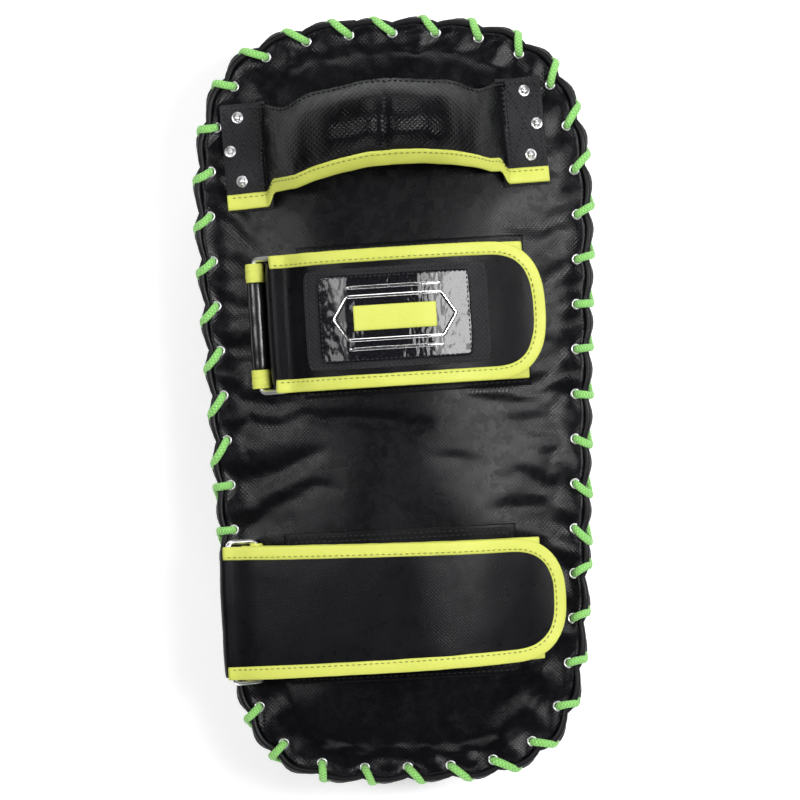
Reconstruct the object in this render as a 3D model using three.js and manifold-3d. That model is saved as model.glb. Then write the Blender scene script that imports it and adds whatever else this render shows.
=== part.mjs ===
// Thai kick pad: a laced, foam-filled forearm shield with a riveted grip handle and two hook-and-loop
// forearm straps that pass through wire rings. Millimetres. The pad lies on its strike face:
// +Z is the forearm side, +Y points to the handle end, and the origin is the middle of the strike face.
import * as THREE from "three";
import { mergeVertices } from "three/addons/utils/BufferGeometryUtils.js";
import Module from "manifold-3d";

const wasm = await Module();
wasm.setup();

// ---------------------------------------------------------------- driving dimensions
const HALF_WIDTH = 103; // rim edge, at the handle end
const HALF_LENGTH = 198;
const TAPER = 0.00042; // share of width lost per millimetre towards the elbow end
const TAPER_START = 100;
const HANDLE_END = { across: 2.8, along: 6.8 }; // superellipse exponents of the outline
const ELBOW_END = { across: 3.5, along: 7.4 };
const TRUE_INSET = 20; // insets deeper than this shrink the outline towards its middle instead
const ROUND = 52; // facets round the pad
const FOAM_ROUND = 28; // like ROUND, a multiple of four

const SHEET = 1.8; // cover leather
const GAP = 0.3; // clearance between touching pieces
const RIM_TOP = 86; // back cover's outer face at its edge
const CROWN = 14; // rise of the padded back above its edge
const CROWN_POWER = 2.2;
const CROWN_INSET = 12.5; // the back starts to rise here
const BACK_EDGE = 4.4; // inset of the back cover's cut edge
const FLANGE_BOTTOM = 80.9; // the side wall's turned-out flange, under the rim

const LACE_COUNT = 44;
const LACE_RADIUS = 1.6;
const LACE_INSET = 8.6;
const LACE_HOLE_RADIUS = 3.9;
const LACE_SIDES = 5;

const STRAP_HALF_WIDTH = 35.5;
const BASE_THICKNESS = 2.4;
const FLAP_THICKNESS = 2.6;
const LAYER_OFFSET = 3.5; // from the strap's middle line to the middle of each layer
const BINDING_SKIN = 0.9;
const BINDING_WIDTH = 8;
const BINDING_GAP = 0.9; // between the sheet's edge and the fold of its binding
const TAPE_THICKNESS = 0.9; // each half of the hook-and-loop closure
const PATCH_THICKNESS = 1.2;

const RING = { wire: 1.9, span: 14, corner: 2.6 };
const BAR_CLEARANCE = 0.5;
const FLAP_START = 8; // from the ring's bar to the flap's free end, past the fold's upper lip

const HANDLE = {
  x: -3.5, y: 132.8, skew: 3.3, halfLength: 83.5, gripHalf: 62.5, halfWidth: 27.2,
  lift: 32, roll: 20, bow: 7, sheet: 2.2, bindingShare: 0.3,
};
const RIVET = { head: 3.1, height: 1.5, shank: 1.5, hole: 1.85 };

const rad = THREE.MathUtils.degToRad;
const clamp01 = (t) => THREE.MathUtils.clamp(t, 0, 1);

// ---------------------------------------------------------------- materials
const finish = (color, roughness, metalness = 0) =>
  new THREE.MeshStandardMaterial({ color, roughness, metalness });
const LEATHER = finish(0x17171a, 0.42);
const TEXTURED = finish(0x1f1f23, 0.5);
const PIPING = finish(0x101012, 0.35);
const LIME = finish(0xd2e04a, 0.5);
const LACE = finish(0x8fd468, 0.6);
const FOAM = finish(0x3a3d42, 0.95);
const SOFT_FOAM = finish(0x8b9096, 0.95);
const TAPE = finish(0x0c0c0e, 0.95);
const NICKEL = finish(0xc9c9cc, 0.22, 1);
const GLOSS = finish(0x060607, 0.08);

const root = new THREE.Group();
function add(parent, name, geometry, material) {
  const mesh = new THREE.Mesh(geometry, material);
  mesh.name = name;
  parent.add(mesh);
  return mesh;
}

// ---------------------------------------------------------------- outline of the pad
const taper = (y) => 1 - TAPER * Math.max(0, TAPER_START - y);
const signedPower = (v, n) => Math.sign(v) * Math.abs(v) ** n;

// A point of the outline at parameter t, moved in by inset.
function outlineAt(t, inset) {
  const end = Math.sin(t) >= 0 ? HANDLE_END : ELBOW_END;
  const y = (HALF_LENGTH - inset) * signedPower(Math.sin(t), 2 / end.along);
  const x = (HALF_WIDTH * taper(y) - inset) * signedPower(Math.cos(t), 2 / end.across);
  return new THREE.Vector2(x, y);
}

// Parameters at equal steps along the outline.
const SAMPLES = 4096;
const lengths = [0];
for (let i = 1; i <= SAMPLES; i++) {
  const here = outlineAt((i / SAMPLES) * 2 * Math.PI, 0);
  const before = outlineAt(((i - 1) / SAMPLES) * 2 * Math.PI, 0);
  lengths.push(lengths[i - 1] + here.distanceTo(before));
}
function parameterAt(share) {
  const wanted = (share - Math.floor(share)) * lengths[SAMPLES];
  let i = 1;
  while (lengths[i] < wanted) i++;
  const part = (wanted - lengths[i - 1]) / (lengths[i] - lengths[i - 1]);
  return ((i - 1 + part) / SAMPLES) * 2 * Math.PI;
}

// The covers' facets crowd into the corners, half way to equal steps of the parameter.
const facetParameter = (share) => (parameterAt(share) + share * 2 * Math.PI) / 2;

// A ring of the pad is named by its radius: HALF_WIDTH at the rim and 0 at the middle.
function ringPoint(share, radius, t = parameterAt(share)) {
  const inset = HALF_WIDTH - radius;
  if (inset <= TRUE_INSET) return outlineAt(t, inset);
  return outlineAt(t, TRUE_INSET).multiplyScalar(radius / (HALF_WIDTH - TRUE_INSET));
}
function insideRing(x, y, radius) {
  const shrink = Math.min(1, radius / (HALF_WIDTH - TRUE_INSET));
  const inset = Math.min(TRUE_INSET, HALF_WIDTH - radius);
  const end = y >= 0 ? HANDLE_END : ELBOW_END;
  const across = Math.abs(x / shrink) / (HALF_WIDTH * taper(y / shrink) - inset);
  const along = Math.abs(y / shrink) / (HALF_LENGTH - inset);
  return across ** end.across + along ** end.along < 1;
}
function ringRadius(x, y) {
  let low = 1e-3;
  let high = HALF_WIDTH + 20;
  for (let i = 0; i < 40; i++) {
    const middle = (low + high) / 2;
    if (insideRing(x, y, middle)) high = middle;
    else low = middle;
  }
  return high;
}

// Height of the padded back over a ring, and over a point.
function crownAt(radius) {
  const share = Math.min(1, radius / (HALF_WIDTH - CROWN_INSET));
  return RIM_TOP + CROWN * (1 - share ** CROWN_POWER) ** 1.2;
}
const backHeight = (x, y) => crownAt(ringRadius(x, y));
function backNormal(x, y) {
  const step = 1;
  const dx = (backHeight(x + step, y) - backHeight(x - step, y)) / (2 * step);
  const dy = (backHeight(x, y + step) - backHeight(x, y - step)) / (2 * step);
  return new THREE.Vector3(-dx, -dy, 1).normalize();
}

// ---------------------------------------------------------------- shaping and cutting
function moveVertices(geometry, move) {
  const position = geometry.attributes.position;
  const point = new THREE.Vector3();
  for (let i = 0; i < position.count; i++) {
    move(point.fromBufferAttribute(position, i));
    position.setXYZ(i, point.x, point.y, point.z);
  }
  return geometry;
}

// Turns a profile of [radius, height] pairs about Z, then stretches the circle to the pad's outline.
function stretchedLathe(profile, facets = ROUND) {
  const points = profile.map(([radius, height]) => new THREE.Vector2(radius, height));
  const geometry = new THREE.LatheGeometry(points, facets).rotateX(Math.PI / 2);
  return moveVertices(geometry, (p) => {
    const radius = Math.hypot(p.x, p.y);
    if (radius < 1e-6) return;
    const step = Math.round((Math.atan2(p.y, p.x) / (2 * Math.PI)) * facets);
    const share = ((step + facets) % facets) / facets;
    const at = ringPoint(share, radius, facetParameter(share));
    p.set(at.x, at.y, p.z);
  });
}

const inset = (distance, height) => [HALF_WIDTH - distance, height];
const closed = (profile) => [...profile, profile[0]];

function solidOf(geometry) {
  const bare = geometry.index ? geometry.toNonIndexed() : geometry.clone();
  const only = new THREE.BufferGeometry().setAttribute("position", bare.getAttribute("position"));
  const merged = mergeVertices(only, 1e-3);
  return new wasm.Manifold(new wasm.Mesh({
    numProp: 3,
    vertProperties: merged.attributes.position.array,
    triVerts: new Uint32Array(merged.index.array),
  }));
}
function geometryOf(solid) {
  const mesh = solid.getMesh();
  const count = mesh.vertProperties.length / mesh.numProp;
  const position = new Float32Array(count * 3);
  for (let i = 0; i < count; i++) {
    position.set(mesh.vertProperties.subarray(i * mesh.numProp, i * mesh.numProp + 3), i * 3);
  }
  return new THREE.BufferGeometry()
    .setAttribute("position", new THREE.BufferAttribute(position, 3))
    .setIndex(new THREE.BufferAttribute(mesh.triVerts, 1));
}
function drilled(geometry, tools) {
  let solid = solidOf(geometry);
  for (const tool of tools) solid = solid.subtract(solidOf(tool));
  return geometryOf(solid);
}

// ---------------------------------------------------------------- covers, piping and foam
function laceDrills() {
  const drills = [];
  for (let i = 0; i < LACE_COUNT; i++) {
    const at = ringPoint(i / LACE_COUNT, HALF_WIDTH - LACE_INSET);
    drills.push(
      new THREE.CylinderGeometry(LACE_HOLE_RADIUS, LACE_HOLE_RADIUS, 20, 6)
        .rotateX(Math.PI / 2)
        .translate(at.x, at.y, RIM_TOP - 2),
    );
  }
  return drills;
}

function backCover(rivetDrills) {
  const rings = [0, 30, 52, 68, 80, 88];
  const edge = HALF_WIDTH - BACK_EDGE;
  const rim = HALF_WIDTH - CROWN_INSET;
  const under = rings.map((radius) => [radius, crownAt(radius) - SHEET]);
  const over = rings.map((radius) => [radius, crownAt(radius)]).reverse();
  const profile = [
    ...under,
    [rim, RIM_TOP - SHEET],
    [edge, RIM_TOP - SHEET],
    [edge, RIM_TOP],
    [rim, RIM_TOP],
    ...over,
  ];
  return drilled(stretchedLathe(profile), [...laceDrills(), ...rivetDrills]);
}

// The wall swells between its seams, and turns out at the top into the flange that the lace holds.
function sideWall() {
  const profile = closed([
    inset(4.8, 17), inset(3.4, 42), inset(5.4, 64), inset(11, 73.5), inset(14.6, 78.5),
    inset(14.8, FLANGE_BOTTOM), inset(0.8, FLANGE_BOTTOM), inset(0, FLANGE_BOTTOM + SHEET / 2),
    inset(0.8, FLANGE_BOTTOM + SHEET), inset(16.6, FLANGE_BOTTOM + SHEET),
    inset(16.5, 77.9), inset(12.5, 72.4), inset(7.2, 63.4), inset(5.2, 42), inset(6.6, 17),
  ]);
  return drilled(stretchedLathe(profile), laceDrills());
}

function strikePanel() {
  return stretchedLathe([
    [0, 0], inset(18, 0), inset(11, 1.6), inset(6.4, 6), inset(4.8, 12.2),
    inset(6.6, 12.2), inset(8, 7), inset(12, 3.2), inset(18.5, SHEET), [0, SHEET],
  ]);
}

// A round bead of six sides, for the seam between strike panel and side wall.
function strikePiping() {
  const bead = [];
  for (let i = 0; i < 6; i++) {
    const angle = (i / 6) * 2 * Math.PI;
    bead.push(inset(4.5 - 2.1 * Math.cos(angle), 14.6 + 2.1 * Math.sin(angle)));
  }
  return stretchedLathe(closed(bead));
}

// A bead on a flat tape, held between the back cover and the flange.
function edgePiping() {
  const tapeTop = RIM_TOP - SHEET - GAP;
  const tapeBottom = FLANGE_BOTTOM + SHEET + GAP;
  const profile = closed([
    inset(5.3, tapeBottom), inset(3.2, tapeBottom), inset(1.5, tapeBottom + 0.1),
    inset(0.6, 84.7), inset(1.5, 86.3), inset(3.2, 86.3), inset(4.1, 84.9),
    inset(4.1, tapeTop), inset(5.3, tapeTop),
  ]);
  return stretchedLathe(profile);
}

const strikeFoam = () => stretchedLathe([
  [0, 2.3], inset(19, 2.3), inset(12.4, 4.1), inset(8.6, 8.2), inset(7.4, 14),
  inset(6.6, 30), [0, 30],
], FOAM_ROUND);
const coreFoam = () => stretchedLathe([
  [0, 30.4], inset(6.6, 30.4), inset(6, 42), inset(7.4, 56), [0, 56],
], FOAM_ROUND);
function backFoam() {
  const clearance = SHEET + 1.1;
  const top = [82, 62, 36, 0].map((radius) => [radius, crownAt(radius) - clearance]);
  return stretchedLathe([
    [0, 56.4], inset(7.5, 56.4), inset(8.6, 63), inset(13.7, 72), inset(17.4, 78), ...top,
  ], FOAM_ROUND);
}

// ---------------------------------------------------------------- lace
// One cord, whipped round the rim: out of a hole, over the piping, round the edge and back under.
function rimLace() {
  const turn = [
    [LACE_INSET, 81.2, 0], [LACE_INSET, 86.6, 0], [4, 88.7, 0.15], [-0.8, 87.6, 0.3],
    [-2.4, 83.4, 0.42], [-0.8, 79.2, 0.54], [4, 78, 0.7], [8, 78.9, 0.93],
  ];
  const path = [];
  for (let i = 0; i < LACE_COUNT; i++) {
    for (const [distance, height, ahead] of turn) {
      const at = ringPoint((i + ahead) / LACE_COUNT, HALF_WIDTH - distance);
      path.push(new THREE.Vector3(at.x, at.y, height));
    }
  }
  path.pop(); // the two ends stay apart, tucked under the rim
  const curve = new THREE.CatmullRomCurve3(path);
  curve.getUtoTmapping = (share) => share; // a facet at every point of the path
  const section = new THREE.Shape();
  for (let i = 0; i < LACE_SIDES; i++) {
    const angle = (i / LACE_SIDES) * 2 * Math.PI;
    const corner = [LACE_RADIUS * Math.cos(angle), LACE_RADIUS * Math.sin(angle)];
    if (i) section.lineTo(...corner);
    else section.moveTo(...corner);
  }
  return new THREE.ExtrudeGeometry(section, {
    steps: path.length - 1,
    extrudePath: curve,
  });
}

// ---------------------------------------------------------------- handle
const handleFrame = new THREE.Matrix4()
  .makeRotationZ(rad(HANDLE.skew))
  .setPosition(HANDLE.x, HANDLE.y, 0);
const toHandle = (x, y) => new THREE.Vector3(x, y, 0).applyMatrix4(handleFrame);

// Share of the grip's full height at x: 0 over the end tabs and 1 in the middle.
function gripShare(x) {
  const along = clamp01(1 - (Math.abs(x) / HANDLE.gripHalf) ** 2);
  return along ** 0.75;
}

// A strip of the handle between two shares of its half width, from one height to another above the back.
// roll says how much of the grip's rounded section the strip follows.
function handleStrip({ half, low, high, bottom, top, roll, lengthSteps, widthSteps }) {
  const geometry = new THREE.BoxGeometry(2, 2, 2, lengthSteps, widthSteps, 1);
  return moveVertices(geometry, (p) => {
    const x = p.x * half;
    const across = THREE.MathUtils.lerp(low, high, (p.y + 1) / 2);
    const grip = gripShare(x);
    const y = across * HANDLE.halfWidth * (1 - 0.1 * grip) + HANDLE.bow * grip;
    const ground = toHandle(x, y);
    const height = p.z > 0 ? top : bottom;
    const rise = roll * HANDLE.roll * grip * (1 - Math.abs(across) ** 2.5);
    const z = backHeight(ground.x, ground.y) + HANDLE.lift * grip + rise + height;
    p.set(ground.x, ground.y, z);
  });
}

const tabBottom = PATCH_THICKNESS + 3 * GAP;
const RIVET_PLACES = [[0.6, 20], [5.6, 3], [0.8, -13]]; // outwards from the tab's middle, and along Y
function rivetPlaces() {
  const middle = (HANDLE.gripHalf + HANDLE.halfLength) / 2;
  const places = [];
  for (const [side, word] of [[-1, "left"], [1, "right"]]) {
    RIVET_PLACES.forEach(([out, along], i) => {
      const at = toHandle(side * (middle + out), along);
      const z = backHeight(at.x, at.y);
      places.push({
        name: `handle_rivet_${word}_${i + 1}`,
        at: new THREE.Vector3(at.x, at.y, z),
        normal: backNormal(at.x, at.y),
      });
    });
  }
  return places;
}
const rivets = rivetPlaces();
const UP = new THREE.Vector3(0, 0, 1);
function rivetDrill({ at, normal }) {
  const turn = new THREE.Matrix4().makeRotationFromQuaternion(
    new THREE.Quaternion().setFromUnitVectors(UP, normal),
  );
  return new THREE.CylinderGeometry(RIVET.hole, RIVET.hole, 16, 8)
    .rotateX(Math.PI / 2)
    .applyMatrix4(turn.setPosition(at));
}
function addRivet({ name, at, normal }) {
  const seat = tabBottom + HANDLE.sheet + 2 * GAP;
  const profile = [
    [0, -SHEET - 0.4], [RIVET.shank, -SHEET - 0.4], [RIVET.shank, seat], [RIVET.head, seat],
    [RIVET.head, seat + 0.5], [2, seat + 0.9], [1.6, seat + 0.7], [1.1, seat + RIVET.height],
    [0, seat + RIVET.height + 0.2],
  ];
  const points = profile.map(([radius, height]) => new THREE.Vector2(radius, height));
  const geometry = new THREE.LatheGeometry(points, 8).rotateX(Math.PI / 2);
  const mesh = add(root, name, geometry, NICKEL);
  mesh.position.copy(at);
  mesh.quaternion.setFromUnitVectors(UP, normal);
}

function addHandle() {
  const drills = rivets.map(rivetDrill);
  const sheetLow = tabBottom;
  const sheetHigh = tabBottom + HANDLE.sheet;
  const bindingEdge = -1 + HANDLE.bindingShare;
  const sleeve = handleStrip({
    half: HANDLE.halfLength, low: bindingEdge + 0.02, high: 1, bottom: sheetLow, top: sheetHigh,
    roll: 1, lengthSteps: 22, widthSteps: 5,
  });
  add(root, "handle_sleeve", drilled(sleeve, drills), LEATHER);
  add(root, "handle_binding", handleStrip({
    half: HANDLE.halfLength, low: -1, high: bindingEdge, bottom: sheetLow,
    top: sheetHigh + 0.8, roll: 1, lengthSteps: 22, widthSteps: 1,
  }), LIME);
  add(root, "handle_foam", handleStrip({
    half: 46, low: bindingEdge + 0.06, high: 0.76, bottom: -0.6, top: sheetLow - 1.3,
    roll: 1, lengthSteps: 16, widthSteps: 4,
  }), SOFT_FOAM);
  for (const [side, word] of [[-1, "left"], [1, "right"]]) {
    const length = HANDLE.halfLength - HANDLE.gripHalf + 2;
    const patch = new THREE.BoxGeometry(length, 2 * HANDLE.halfWidth + 2, PATCH_THICKNESS, 4, 8, 1)
      .translate(side * (HANDLE.halfLength - 0.6 - length / 2), 0, 0);
    moveVertices(patch, (p) => {
      const at = toHandle(p.x, p.y);
      p.set(at.x, at.y, backHeight(at.x, at.y) + GAP + PATCH_THICKNESS / 2 + p.z);
    });
    add(root, `handle_patch_${word}`, drilled(patch, drills), TEXTURED);
  }
  rivets.forEach(addRivet);
}

// ---------------------------------------------------------------- straps
// Each strap is worked in its own frame: x along the strap, y across it, z from the strike face.
// line holds the [x, z] points of the strap's middle line, half way between its two layers.
// side is -1 where the ring points back under the fold, and 1 where it points to the fold from the left.
const STRAPS = [
  {
    name: "wrist", y: 42.6, skew: 1.6, width: 1, taper: 0, ringHalf: 34.4,
    keeperX: -72, keeperRadius: 4.9, side: 1,
    foldInner: 3.8, patchFrom: -50, patchTo: 67.5, patchHalf: 39,
    anchorX: 65.5, tipX: 76.5, crest: 118, barZ: 102.6, badge: true,
  },
  {
    name: "elbow", y: -105.4, skew: 0.8, width: 0.97, taper: 0.088, ringHalf: 37,
    keeperX: -76.6, keeperRadius: 3.4, side: -1,
    foldInner: BAR_CLEARANCE, patchFrom: -62, patchTo: 58, patchHalf: 39,
    anchorX: 69, tipX: 82, crest: 117, barZ: 99.2, badge: false,
  },
];

function strapLine(strap) {
  const barX = strap.keeperX + strap.side * RING.span;
  const anchor = backHeight(strap.anchorX, strap.y) + PATCH_THICKNESS + BASE_THICKNESS / 2 +
    BINDING_SKIN + 7 * GAP + LAYER_OFFSET;
  const drop = strap.tipX - strap.anchorX;
  const ramp = strap.side < 0 ? [[-74, 105.4]] : [];
  const points = [
    [barX, strap.barZ], ...ramp, [-34, strap.crest - 3.4], [0, strap.crest],
    [36, strap.crest - 4.5], [strap.anchorX, anchor], [strap.tipX, anchor - 0.2 * drop],
  ];
  const curve = new THREE.CubicInterpolant(
    points.map(([x]) => x), points.map(([, z]) => z), 1,
  );
  const height = (x) => curve.evaluate(THREE.MathUtils.clamp(x, barX, strap.tipX))[0];
  const width = (x) => strap.width * (1 - strap.taper * clamp01((x - barX) / (strap.tipX - barX)));
  return { barX, height, width };
}

// Lifts a flat piece, whose z is its distance from the middle line, onto the strap's arch.
function arched(geometry, line) {
  return moveVertices(geometry, (p) => {
    const slope = line.height(p.x + 0.5) - line.height(p.x - 0.5);
    const angle = Math.atan(slope);
    const y = p.y * line.width(p.x);
    p.set(p.x - p.z * Math.sin(angle), y, line.height(p.x) + p.z * Math.cos(angle));
  });
}

const FLAP_END = 30; // length of the flap's rounded end
function flapHalfWidth(x, tipX, halfWidth) {
  const into = clamp01((x - (tipX - FLAP_END)) / FLAP_END);
  return halfWidth * (1 - into ** 2.6) ** (1 / 2.6);
}

function strapSheet({ from, to, half, thickness, offset, round, steps }) {
  const length = to - from;
  const geometry = new THREE.BoxGeometry(2, 2, thickness, steps, 2, 1);
  return moveVertices(geometry, (p) => {
    const share = (p.x + 1) / 2;
    const eased = round ? Math.sin((share * Math.PI) / 2) : share; // more facets in the round end
    const x = from + length * eased;
    const width = round ? Math.max(4, flapHalfWidth(x, to, half)) : half;
    p.set(x, p.y * width, p.z + offset);
  });
}

// The binding's section: a folded tape round the sheet's edge, open towards +Y where the sheet lies.
function bindingSection(thickness) {
  const inner = thickness / 2 + 2 * GAP;
  const outer = inner + BINDING_SKIN;
  const corners = [
    [outer, -BINDING_GAP - BINDING_SKIN], [outer, BINDING_WIDTH], [inner, BINDING_WIDTH],
    [inner, -BINDING_GAP], [-inner, -BINDING_GAP], [-inner, BINDING_WIDTH],
    [-outer, BINDING_WIDTH], [-outer, -BINDING_GAP - BINDING_SKIN],
  ];
  return new THREE.Shape(corners.map(([x, y]) => new THREE.Vector2(x, y)));
}

// A straight run of binding along one long edge; edge is 1 towards the handle and -1 away from it.
function edgeBinding({ from, to, edge, thickness, offset, steps }) {
  const shape = bindingSection(thickness);
  const geometry = new THREE.ExtrudeGeometry(shape, { steps, depth: to - from, bevelEnabled: false });
  const edgeY = STRAP_HALF_WIDTH - BINDING_SKIN - BINDING_GAP;
  return moveVertices(geometry, (p) => {
    p.set(from + p.z, edge * (edgeY - p.y), edge * p.x + offset);
  });
}

// The flap's binding goes along one edge, round the end and back along the other.
function flapBinding({ from, to, thickness, offset, steps }) {
  const half = STRAP_HALF_WIDTH - BINDING_SKIN - BINDING_GAP;
  const route = [];
  const straight = 6;
  const bend = 22;
  const start = to - FLAP_END;
  for (let i = 0; i < straight; i++) {
    route.push([THREE.MathUtils.lerp(from, start, i / straight), -half]);
  }
  for (let i = 0; i <= bend; i++) {
    const angle = (i / bend - 0.5) * Math.PI;
    const out = Math.cos(angle) ** (2 / 2.6);
    const across = signedPower(Math.sin(angle), 2 / 2.6);
    route.push([start + FLAP_END * out, half * across]);
  }
  for (let i = straight - 1; i >= 0; i--) {
    route.push([THREE.MathUtils.lerp(from, start, i / straight), half]);
  }
  const path = new THREE.CatmullRomCurve3(route.map(([x, y]) => new THREE.Vector3(x, y, offset)));
  const shape = bindingSection(thickness);
  return new THREE.ExtrudeGeometry(shape, { steps, extrudePath: path });
}

// The fold of the strap round the ring's bar: a channel open to the right.
function strapFold(strap, line) {
  const inner = LAYER_OFFSET - BASE_THICKNESS / 2;
  const outer = LAYER_OFFSET + BASE_THICKNESS / 2;
  const shift = inner - RING.wire - strap.foldInner;
  const reach = 3.4;
  const shape = new THREE.Shape();
  shape.moveTo(reach, outer);
  shape.absarc(shift, 0, outer, Math.PI / 2, (3 * Math.PI) / 2, false);
  shape.lineTo(reach, -outer);
  shape.lineTo(reach, -inner);
  shape.absarc(shift, 0, inner, (3 * Math.PI) / 2, Math.PI / 2, true);
  shape.lineTo(reach, inner);
  shape.closePath();
  const half = strap.ringHalf - RING.corner - 0.2;
  return new THREE.ExtrudeGeometry(shape, { depth: 2 * half, curveSegments: 6, bevelEnabled: false })
    .translate(0, 0, -half)
    .rotateX(Math.PI / 2)
    .translate(line.barX, 0, strap.barZ);
}

// Height of the keeper's bore: its foot and its floor lie between the bar and the back.
const KEEPER_FLOOR = 0.8;
const keeperGround = (strap) => backHeight(strap.keeperX + 4, strap.y);
const keeperHeight = (strap) =>
  keeperGround(strap) + GAP + KEEPER_FLOOR + BAR_CLEARANCE + RING.wire;

// A wire ring: a torus pulled apart into two long bars with round corners.
function wireRing(strap, line) {
  const segments = 16;
  const across = RING.span / 2 - RING.corner;
  const along = strap.ringHalf - RING.corner;
  const geometry = new THREE.TorusGeometry(RING.corner, RING.wire, 8, segments)
    .rotateZ(Math.PI / segments);
  moveVertices(geometry, (p) => {
    const middle = Math.atan2(p.y, p.x);
    p.x += Math.sign(Math.cos(middle)) * across;
    p.y += Math.sign(Math.sin(middle)) * along;
  });
  const keeperZ = keeperHeight(strap);
  const tilt = Math.atan2(strap.barZ - keeperZ, RING.span);
  const length = Math.hypot(strap.barZ - keeperZ, RING.span);
  return geometry
    .scale(length / RING.span, 1, 1)
    .rotateY(-strap.side * tilt)
    .translate((line.barX + strap.keeperX) / 2, 0, (strap.barZ + keeperZ) / 2);
}

// The leather loop that holds the ring's other bar down: a tube on a sewn foot.
function keeperSection(radius) {
  const sink = KEEPER_FLOOR + BAR_CLEARANCE + RING.wire;
  const shape = new THREE.Shape();
  shape.moveTo(-radius, -sink);
  shape.lineTo(radius, -sink);
  shape.absarc(0, 0, radius, 0, Math.PI, false);
  shape.closePath();
  const bore = new THREE.Path();
  bore.absarc(0, 0, RING.wire + BAR_CLEARANCE, 0, 2 * Math.PI, true);
  shape.holes.push(bore);
  return shape;
}
function addKeeper(group, strap) {
  const half = strap.ringHalf - RING.wire - GAP;
  const end = 9.6;
  const runs = [
    ["keeper", -half + end + GAP, half - end - GAP, strap.keeperRadius - 0.5, LEATHER],
    ["keeper_end_top", half - end, half, strap.keeperRadius, LIME],
    ["keeper_end_bottom", -half, -half + end, strap.keeperRadius, LIME],
  ];
  for (const [word, from, to, radius, material] of runs) {
    const geometry = new THREE.ExtrudeGeometry(keeperSection(radius), {
      depth: to - from, curveSegments: 6, bevelEnabled: false,
    }).rotateX(Math.PI / 2).translate(strap.keeperX, to, keeperHeight(strap));
    add(group, `${strap.name}_${word}`, geometry, material);
  }
}

// A plate that follows the flap's arch; outline goes from -1 to 1 both ways.
function flapPlate({ from, to, half, thickness, above }) {
  const offset = LAYER_OFFSET + FLAP_THICKNESS / 2 + above + thickness / 2;
  return strapSheet({ from, to, half, thickness, offset, round: false, steps: 10 });
}
function addBadge(group, line) {
  const backing = { from: -47, to: 47, half: 25.6, thickness: 1, above: GAP };
  const panel = { from: -39, to: 37, half: 22.6, thickness: 1.2, above: 1 + 2 * GAP };
  const emblem = { from: -30, to: 28, half: 9, thickness: 0.8, above: 2.2 + 3 * GAP };
  add(group, "wrist_badge_backing", arched(flapPlate(backing), line), TEXTURED);
  add(group, "wrist_badge_panel", arched(flapPlate(panel), line), GLOSS);
  add(group, "wrist_badge_emblem", arched(flapPlate(emblem), line), NICKEL);
}

function addStrap(strap) {
  const { name } = strap;
  const line = strapLine(strap);
  const group = new THREE.Group();
  group.position.y = strap.y;
  group.rotation.z = rad(strap.skew);
  root.add(group);

  const patch = new THREE.BoxGeometry(
    strap.patchTo - strap.patchFrom, 2 * strap.patchHalf, PATCH_THICKNESS, 12, 6, 1,
  ).translate((strap.patchFrom + strap.patchTo) / 2, 0, 0)
    .rotateZ(rad(strap.skew))
    .translate(0, strap.y, 0);
  moveVertices(patch, (p) => {
    p.z += backHeight(p.x, p.y) + GAP + PATCH_THICKNESS / 2;
  });
  add(root, `${name}_strap_patch`, patch, TEXTURED);

  const from = line.barX + 3.4 + (strap.side > 0 ? 2 : 5) * GAP;
  const flapFrom = line.barX + FLAP_START;
  const flapTo = strap.tipX - BINDING_SKIN - BINDING_GAP;
  const half = STRAP_HALF_WIDTH - BINDING_SKIN - BINDING_GAP;
  add(group, `${name}_strap_base`, arched(strapSheet({
    from, to: strap.anchorX, half, thickness: BASE_THICKNESS, offset: -LAYER_OFFSET,
    round: false, steps: 14,
  }), line), LEATHER);
  for (const [edge, word] of [[1, "top"], [-1, "bottom"]]) {
    add(group, `${name}_base_binding_${word}`, arched(edgeBinding({
      from, to: strap.anchorX, edge, thickness: BASE_THICKNESS, offset: -LAYER_OFFSET, steps: 14,
    }), line), LIME);
  }
  add(group, `${name}_strap_flap`, arched(strapSheet({
    from: flapFrom, to: flapTo, half, thickness: FLAP_THICKNESS,
    offset: LAYER_OFFSET, round: true, steps: 20,
  }), line), LEATHER);
  add(group, `${name}_flap_binding`, arched(flapBinding({
    from: flapFrom, to: flapTo, thickness: FLAP_THICKNESS, offset: LAYER_OFFSET,
    steps: 42,
  }), line), LIME);
  add(group, `${name}_strap_fold`, strapFold(strap, line), LEATHER);

  const tapes = [
    ["loop_tape", -LAYER_OFFSET + BASE_THICKNESS / 2 + GAP + TAPE_THICKNESS / 2, -20, 62],
    ["hook_tape", LAYER_OFFSET - FLAP_THICKNESS / 2 - GAP - TAPE_THICKNESS / 2, 2, 48],
  ];
  for (const [word, offset, start, end] of tapes) {
    add(group, `${name}_${word}`, arched(strapSheet({
      from: start, to: end, half: 25, thickness: TAPE_THICKNESS, offset, round: false, steps: 8,
    }), line), TAPE);
  }
  add(group, `${name}_ring`, wireRing(strap, line), NICKEL);
  addKeeper(group, strap);
  if (strap.badge) addBadge(group, line);
}

// ---------------------------------------------------------------- assembly
add(root, "strike_panel", strikePanel(), LEATHER);
add(root, "strike_piping", strikePiping(), PIPING);
add(root, "side_wall", sideWall(), LEATHER);
add(root, "back_cover", backCover(rivets.map(rivetDrill)), LEATHER);
add(root, "edge_piping", edgePiping(), PIPING);
add(root, "strike_foam", strikeFoam(), SOFT_FOAM);
add(root, "core_foam", coreFoam(), FOAM);
add(root, "back_foam", backFoam(), SOFT_FOAM);
add(root, "rim_lace", rimLace(), LACE);
addHandle();
STRAPS.forEach(addStrap);

export default root;
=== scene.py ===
"""Visual model of a laced kick pad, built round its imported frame, in metres.

The pad lies on its strike face: +Z is the forearm side, +Y the grip end, +X the free ends of the straps.
"""

import logging
import math
import random
from dataclasses import dataclass, field
from enum import Enum
from functools import cached_property
from typing import Callable, Optional, Sequence

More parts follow.
